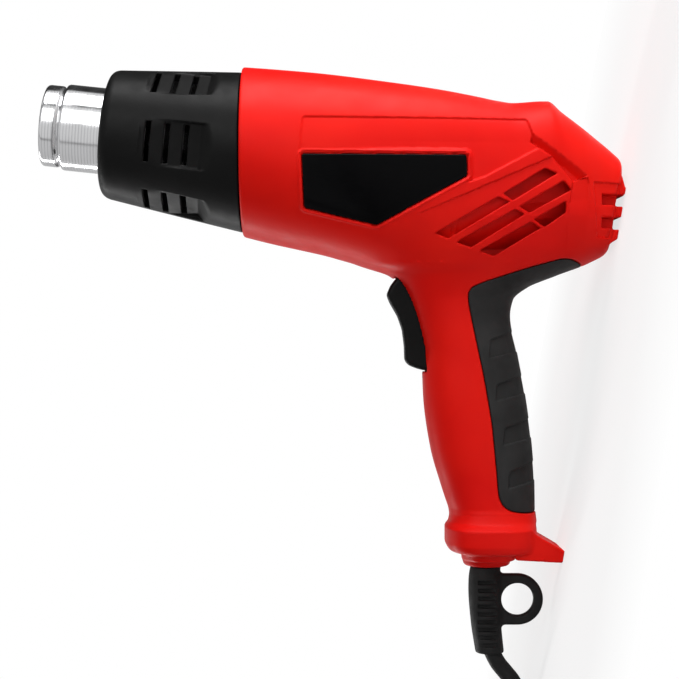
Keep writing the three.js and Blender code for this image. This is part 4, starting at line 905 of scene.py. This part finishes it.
def front_barrel(p):
    x, y, z = p.T
    share = (z - BARREL_BACK[1]) / (BARREL_NOSE[1] - BARREL_BACK[1])
    for _ in range(2):
        share = share + from_bent_axis(x, z, share)[0] / BARREL_LENGTH
    radius = np.hypot(from_bent_axis(x, z, share)[1], y)
    ahead = share * BARREL_LENGTH
    outer = radius - BARREL_RADIUS - (BARREL_NOSE_RADIUS - BARREL_RADIUS) * np.clip(share, 0, 1)
    outer = meet(meet(outer, ahead - BARREL_LENGTH, 4.6), -ahead, 0.8)
    inside = np.maximum(radius - HOLLOW_RADIUS(share), ahead - BARREL_LENGTH + 2.2)
    shell = np.maximum(outer, -inside)
    u, w = duct_frame(x, z)
    first = math.pi / 6 + POCKET_TURN
    across = u - POCKET_OFFSET
    sector = np.round((np.arctan2(y, across) - first) / (math.pi / 3)) * math.pi / 3 + first
    outward = across * np.cos(sector) + y * np.sin(sector)
    sideways = y * np.cos(sector) - across * np.sin(sector)
    pocket = meet(POCKET(outward, w), np.abs(sideways) - POCKET_HALF, 0.8)
    shell = cut(shell, pocket, 0.8)
    nearest_slot = np.clip(np.round((FRONT_SLOT - w) / SLOT_PITCH), 0, 2)
    slots = np.abs(w - FRONT_SLOT + SLOT_PITCH * nearest_slot) - SLOT_HALF
    slots = np.maximum(slots, np.abs(sideways) - SLOT_REACH)
    shell = cut(shell, np.maximum(slots, slab(outward, 20, 40)), 0.5)
    shell = cut(shell, np.maximum(np.hypot(u, y) - NOSE_HOLE, slab(w, 212, 228)), 0.8)
    return np.minimum(shell, SPIGOT(np.hypot(x - SEAM_X, y), z))


# Trigger, bend protector, plug
# The trigger's lower end carries on into its slot, so that no gap opens there when it is pressed.
TRIGGER = plan(rounded([
    *pivot_arc(TRIGGER_UPPER, 84, 51, 6), (-31, 99.3), (-35, 101), (-38.5, 99.6), (-44.2, 96.3),
    (-50, 94.3), (-57, 93.4), (-63.2, 93.2), *pivot_arc(TRIGGER_LOWER, -62, -98, 6), (-59, 80),
    (-54.5, 84.2),
], 1.2))


def trigger(p):
    x, y, z = p.T
    out = np.abs(y)
    blade = meet(TRIGGER(x, z), out - TRIGGER_HALF, 2)
    pivot = pivot_distance(x, z)
    hub = np.maximum(pivot - 4, out - TRIGGER_HALF)
    pin = np.maximum(pivot - 2, out - TRIGGER_HALF - 3.2)
    return np.minimum(blade, np.minimum(hub, pin))


# x, middle line, half depth, half width
RELIEF = table([
    (-142.9, 58, 8.6, 8.6), (-145.3, 58, 8.6, 8.6), (-145.5, 58, 6.2, 6.2), (-151.5, 58, 6.2, 6.2),
    (-151.7, 58.4, 6.5, 6.5), (-161, 59.1, 6.7, 6.7), (-175, 58.3, 6.5, 6.5), (-188.8, 56.6, 6.1, 5.9),
])
RELIEF_SPAN = (-188.8, -142.9)
EYE = (-165.7, 44.8)  # middle of the hanging eye
EYE_RIM, EYE_HOLE = 11, 6.9
RING_START, RING_PITCH, RING_COUNT = -158, 3.35, 9  # of the slots that let the sleeve bend
BORE = 3.8
RUN_GUN = world_to_gun(np.array(RUN) * MM)[:8]


def bend_distance(p):
    """Distance from the first stretch of the flex."""
    return np.minimum.reduce([from_segment(p, a, b) for a, b in zip(RUN_GUN, RUN_GUN[1:])])


def strain_relief(p):
    x, y, z = p.T
    middle, depth, half = (column(x) for column in RELIEF)
    sleeve = meet(oval(z - middle, y, depth, half, 2), slab(x, *RELIEF_SPAN), 1.2)
    tab = np.maximum(np.abs(x - EYE[0]) - EYE_RIM, z - CORD_Z)
    rim = np.hypot(x - EYE[0], np.minimum(z - EYE[1], 0)) - EYE_RIM
    tab = meet(np.maximum(np.maximum(tab, rim), 30 - z), np.abs(y) - 2.2, 1.6)
    form = join(sleeve, tab, 2)
    form = cut(form, np.hypot(x - EYE[0], z - EYE[1]) - EYE_HOLE, 1.2)
    nearest_ring = np.clip(np.round((RING_START - x) / RING_PITCH), 0, RING_COUNT - 1)
    rings = np.abs(x - RING_START + RING_PITCH * nearest_ring) - 0.8
    rings = np.maximum(rings, np.maximum(4.7 - np.abs(y), np.abs(z - CORD_Z) - 4))
    form = cut(form, rings, 0.4)
    bore = np.maximum(np.hypot(y, z - CORD_Z) - BORE, -178 - x)
    return np.maximum(form, -np.minimum(bore, bend_distance(p) - BORE))


PLUG_AT = np.array(TAIL[-1])
PLUG_BACK, PLUG_FRONT = 0.3, 35  # from PLUG_AT
BLADE_OFF = 6.35  # from the plug's middle to each blade's
# x, half width, half height, squareness
PLUG = table([
    (PLUG_BACK, 4.3, 4.3, 2), (8, 4.8, 4.6, 2), (12, 9, 6, 3.2), (16, 11, 6.4, 3.2), (32, 11, 6.4, 3.2),
    (PLUG_FRONT, 10, 5.8, 3.2),
])


def plug_body(p):
    x, y, z = (p - PLUG_AT).T
    half, height, power = (column(x) for column in PLUG)
    form = meet(oval(y, z, half, height, power), slab(x, PLUG_BACK, PLUG_FRONT), 1.6)
    pocket = np.maximum(np.abs(np.abs(y) - BLADE_OFF) - 1.05, np.abs(z) - 3.5)
    return np.maximum(form, -np.maximum(pocket, PLUG_FRONT - 6 - x))


# Building the pieces
COARSER = 1.0


def add_mesh(name, points, faces, slot, node, body="gun", normals=None):
    data = bpy.data.meshes.new(name)
    data.from_pydata(points.tolist(), [], faces.tolist())
    data.materials.append(FINISH[slot])
    data.polygons.foreach_set("use_smooth", np.ones(len(data.polygons), bool))
    if normals is not None:
        data.normals_split_custom_set_from_vertices(normals.tolist())
    piece = bpy.data.objects.new(name, data)
    bpy.context.collection.objects.link(piece)
    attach(piece, body)
    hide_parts(node)


def mould(name, field, low, high, step, slot, node, body="gun", in_world=False):
    """A piece meshed from its field, given in the gun's frame or the world's, in millimetres."""
    points, faces, normals = net(field, low, high, step * COARSER)
    if in_world:
        add_mesh(name, points * MM, faces, slot, node, body, normals)
    else:
        add_mesh(name, gun_to_world(points), faces, slot, node, body, lean(normals))


mould("shell_left", housing(-1), (-153, -38, -2), (66, 0.6, 164), 0.75, "shell_red", "housing_left")
mould("shell_right", housing(1), (-153, -0.6, -2), (66, 38, 164), 0.75, "shell_red", "housing_right")
mould("grip_left", grip_pad(-1), (-128, -34, 6), (-18, 0.6, 68), 0.6, "soft_grip", "grip_pad_left")
mould("grip_right", grip_pad(1), (-128, -0.6, 6), (-18, 34, 68), 0.6, "soft_grip", "grip_pad_right")
mould("label", label_plate, (-9, -37, 62), (28, -4, 142), 0.4, "label_black", "label_plate")
mould("barrel", front_barrel, (-12, -37, 151), (66, 37, 226), 0.6, "shell_black", "front_barrel")
mould("rocker", trigger, (-72, -13, 76), (-21, 13, 103), 0.5, "shell_black", "trigger", "trigger")
mould("bend_protector", strain_relief, (-191, -12, 30), (-141, 12, 68), 0.45, "flex_rubber", "strain_relief")
mould("plug", plug_body, PLUG_AT + (-1, -13, -8), PLUG_AT + (37, 13, 8), 0.6, "flex_rubber", "plug_body",
      in_world=True)


def nozzle():
    """Turned tube with its rolled groove, lip, flange and fine lathe marks."""
    segments = 144
    bore, outer, groove, band, tip = 17.4, 18.4, 241.0, 17.4, 248.6
    marks = np.arange(224.5, groove - 2.2, 0.62)
    profile = [
        (bore, 125.4), (26, 125.4), (26, 126.4), (outer + 0.3, 126.4), (outer, 126.8), (outer, 222),
        *[(outer + 0.03 * (-1) ** i, z) for i, z in enumerate(marks)],
        (outer, groove - 1.9), (outer - 0.25, groove - 1.3), (band - 0.75, groove - 0.35),
        (band - 0.9, groove), (band - 0.8, groove + 0.35), (band - 0.15, groove + 0.95),
        (band, groove + 1.4), (band, groove + 2.4), (band, tip - 2.2), (band, tip - 1.2),
        (band - 0.12, tip - 0.6), (band - 0.45, tip - 0.15), (band - 0.9, tip), (band - 1.3, tip - 0.2),
        (band - 1.6, tip - 0.6), (band - 1.05, tip - 2), (band - 1, groove + 1), (band - 1.9, groove),
        (bore, groove - 2),
    ]
    ring = np.linspace(0, 2 * math.pi, segments, endpoint=False)
    r, w = np.array(profile).T
    u = r[:, None] * np.cos(ring)
    y = r[:, None] * np.sin(ring)
    c, s = math.cos(TILT), math.sin(TILT)
    along = np.broadcast_to(w[:, None], u.shape)
    points = np.stack([DUCT_X + u * c + along * s, y, -u * s + along * c], -1).reshape(-1, 3)
    i, j = np.meshgrid(np.arange(len(profile)), np.arange(segments), indexing="ij")
    here, after = i * segments, (i + 1) % len(profile) * segments
    turned = (j + 1) % segments
    faces = np.stack([here + j, here + turned, after + turned, after + j], -1).reshape(-1, 4)
    add_mesh("nozzle", gun_to_world(points), faces, "nozzle_steel", "nozzle_tube")


nozzle()


# Floor and light
def stage():
    """Floor that takes the object's shadow and fades into the white round it."""
    bpy.ops.mesh.primitive_plane_add(size=16, location=(0, 0, 0))
    floor = bpy.context.object
    floor.name = "floor"
    m = Surface("floor", (0.97, 0.97, 0.97), 0.95)
    m.set("Specular IOR Level", 0.0)
    coordinates = m.node("ShaderNodeTexCoord")
    mapping = m.node("ShaderNodeMapping", Location=(0.35, 0, 0), Scale=(2.0, 5.5, 1))
    length = m.node("ShaderNodeVectorMath", operation="LENGTH")
    edge = m.node("ShaderNodeMapRange", **{"From Min": 0.6, "To Min": 0.72})
    ray = m.node("ShaderNodeLightPath")
    seen = m.node("ShaderNodeMath", operation="MULTIPLY")
    white = m.node("ShaderNodeEmission", Strength=1.0)
    mix = m.node("ShaderNodeMixShader")
    m.link(coordinates.outputs["Object"], mapping.inputs["Vector"])
    m.link(mapping.outputs["Vector"], length.inputs[0])
    m.link(length.outputs["Value"], edge.inputs["Value"])
    m.link(edge.outputs["Result"], seen.inputs[0])
    m.link(ray.outputs["Is Camera Ray"], seen.inputs[1])
    m.link(seen.outputs["Value"], mix.inputs["Fac"])
    m.link(m.shader.outputs["BSDF"], mix.inputs[1])
    m.link(white.outputs["Emission"], mix.inputs[2])
    m.link(mix.outputs["Shader"], m.tree.nodes["Material Output"].inputs["Surface"])
    floor.data.materials.append(m.material)


# Degrees round the room, and how bright it looks there in reflections
GLOSS_BANDS = [
    (-180, 0.6), (-52, 0.8), (-47, 0.3), (-42, 0.9), (50, 1.0), (54, 0.02), (62, 0.02), (65, 1.0), (108, 1.0),
    (114, 0.02), (180, 0.1),
]


def surroundings():
    """White behind the object, and a dimmer room for light and reflections."""
    world = bpy.data.worlds.new("world")
    bpy.context.scene.world = world
    t = Tree(world)
    ray = t.node("ShaderNodeLightPath")
    direction = t.node("ShaderNodeTexCoord")
    split = t.node("ShaderNodeSeparateXYZ")
    opposite = t.node("ShaderNodeMath", operation="MULTIPLY")
    opposite.inputs[1].default_value = -1
    turn = t.node("ShaderNodeMath", operation="ARCTAN2")
    share = t.node("ShaderNodeMapRange", **{"From Min": -math.pi, "From Max": math.pi})
    t.link(direction.outputs["Generated"], split.inputs["Vector"])
    t.link(split.outputs["Y"], opposite.inputs[0])
    t.link(split.outputs["X"], turn.inputs[0])
    t.link(opposite.outputs["Value"], turn.inputs[1])
    t.link(turn.outputs["Value"], share.inputs["Value"])
    stops = [((degrees + 180) / 360, shade) for degrees, shade in GLOSS_BANDS]
    bands = t.ramp(share.outputs["Result"], stops)
    room = t.node("ShaderNodeMix", data_type="RGBA")
    room.inputs["A"].default_value = (0.16, 0.16, 0.16, 1)
    seen = t.node("ShaderNodeMix", data_type="RGBA")
    seen.inputs["B"].default_value = (1, 1, 1, 1)
    clear = t.node("ShaderNodeMath", operation="MAXIMUM")
    t.link(ray.outputs["Is Glossy Ray"], room.inputs["Factor"])
    t.link(bands, room.inputs["B"])
    t.link(ray.outputs["Is Camera Ray"], clear.inputs[0])
    t.link(ray.outputs["Is Transmission Ray"], clear.inputs[1])
    t.link(clear.outputs["Value"], seen.inputs["Factor"])
    t.link(room.outputs["Result"], seen.inputs["A"])
    t.link(seen.outputs["Result"], t.tree.nodes["Background"].inputs["Color"])


LAMP_TARGET = Vector((-0.02, 0, 0.12))


def lamp(name, energy, size, place):
    data = bpy.data.lights.new(name, "AREA")
    data.energy = energy
    data.shape = "RECTANGLE"
    data.size, data.size_y = size
    item = bpy.data.objects.new(name, data)
    bpy.context.collection.objects.link(item)
    item.location = place
    item.rotation_euler = (LAMP_TARGET - Vector(place)).to_track_quat("-Z", "Y").to_euler()


stage()
surroundings()
lamp("top", 13, (0.55, 0.9), (0.85, -0.2, 0.2))
lamp("front", 6.2, (0.8, 0.8), (0.5, -1.15, 0.6))
lamp("low_edge", 3.4, (0.08, 0.9), (-0.62, 0.42, 0.4))
bpy.context.scene.view_settings.view_transform = "Standard"
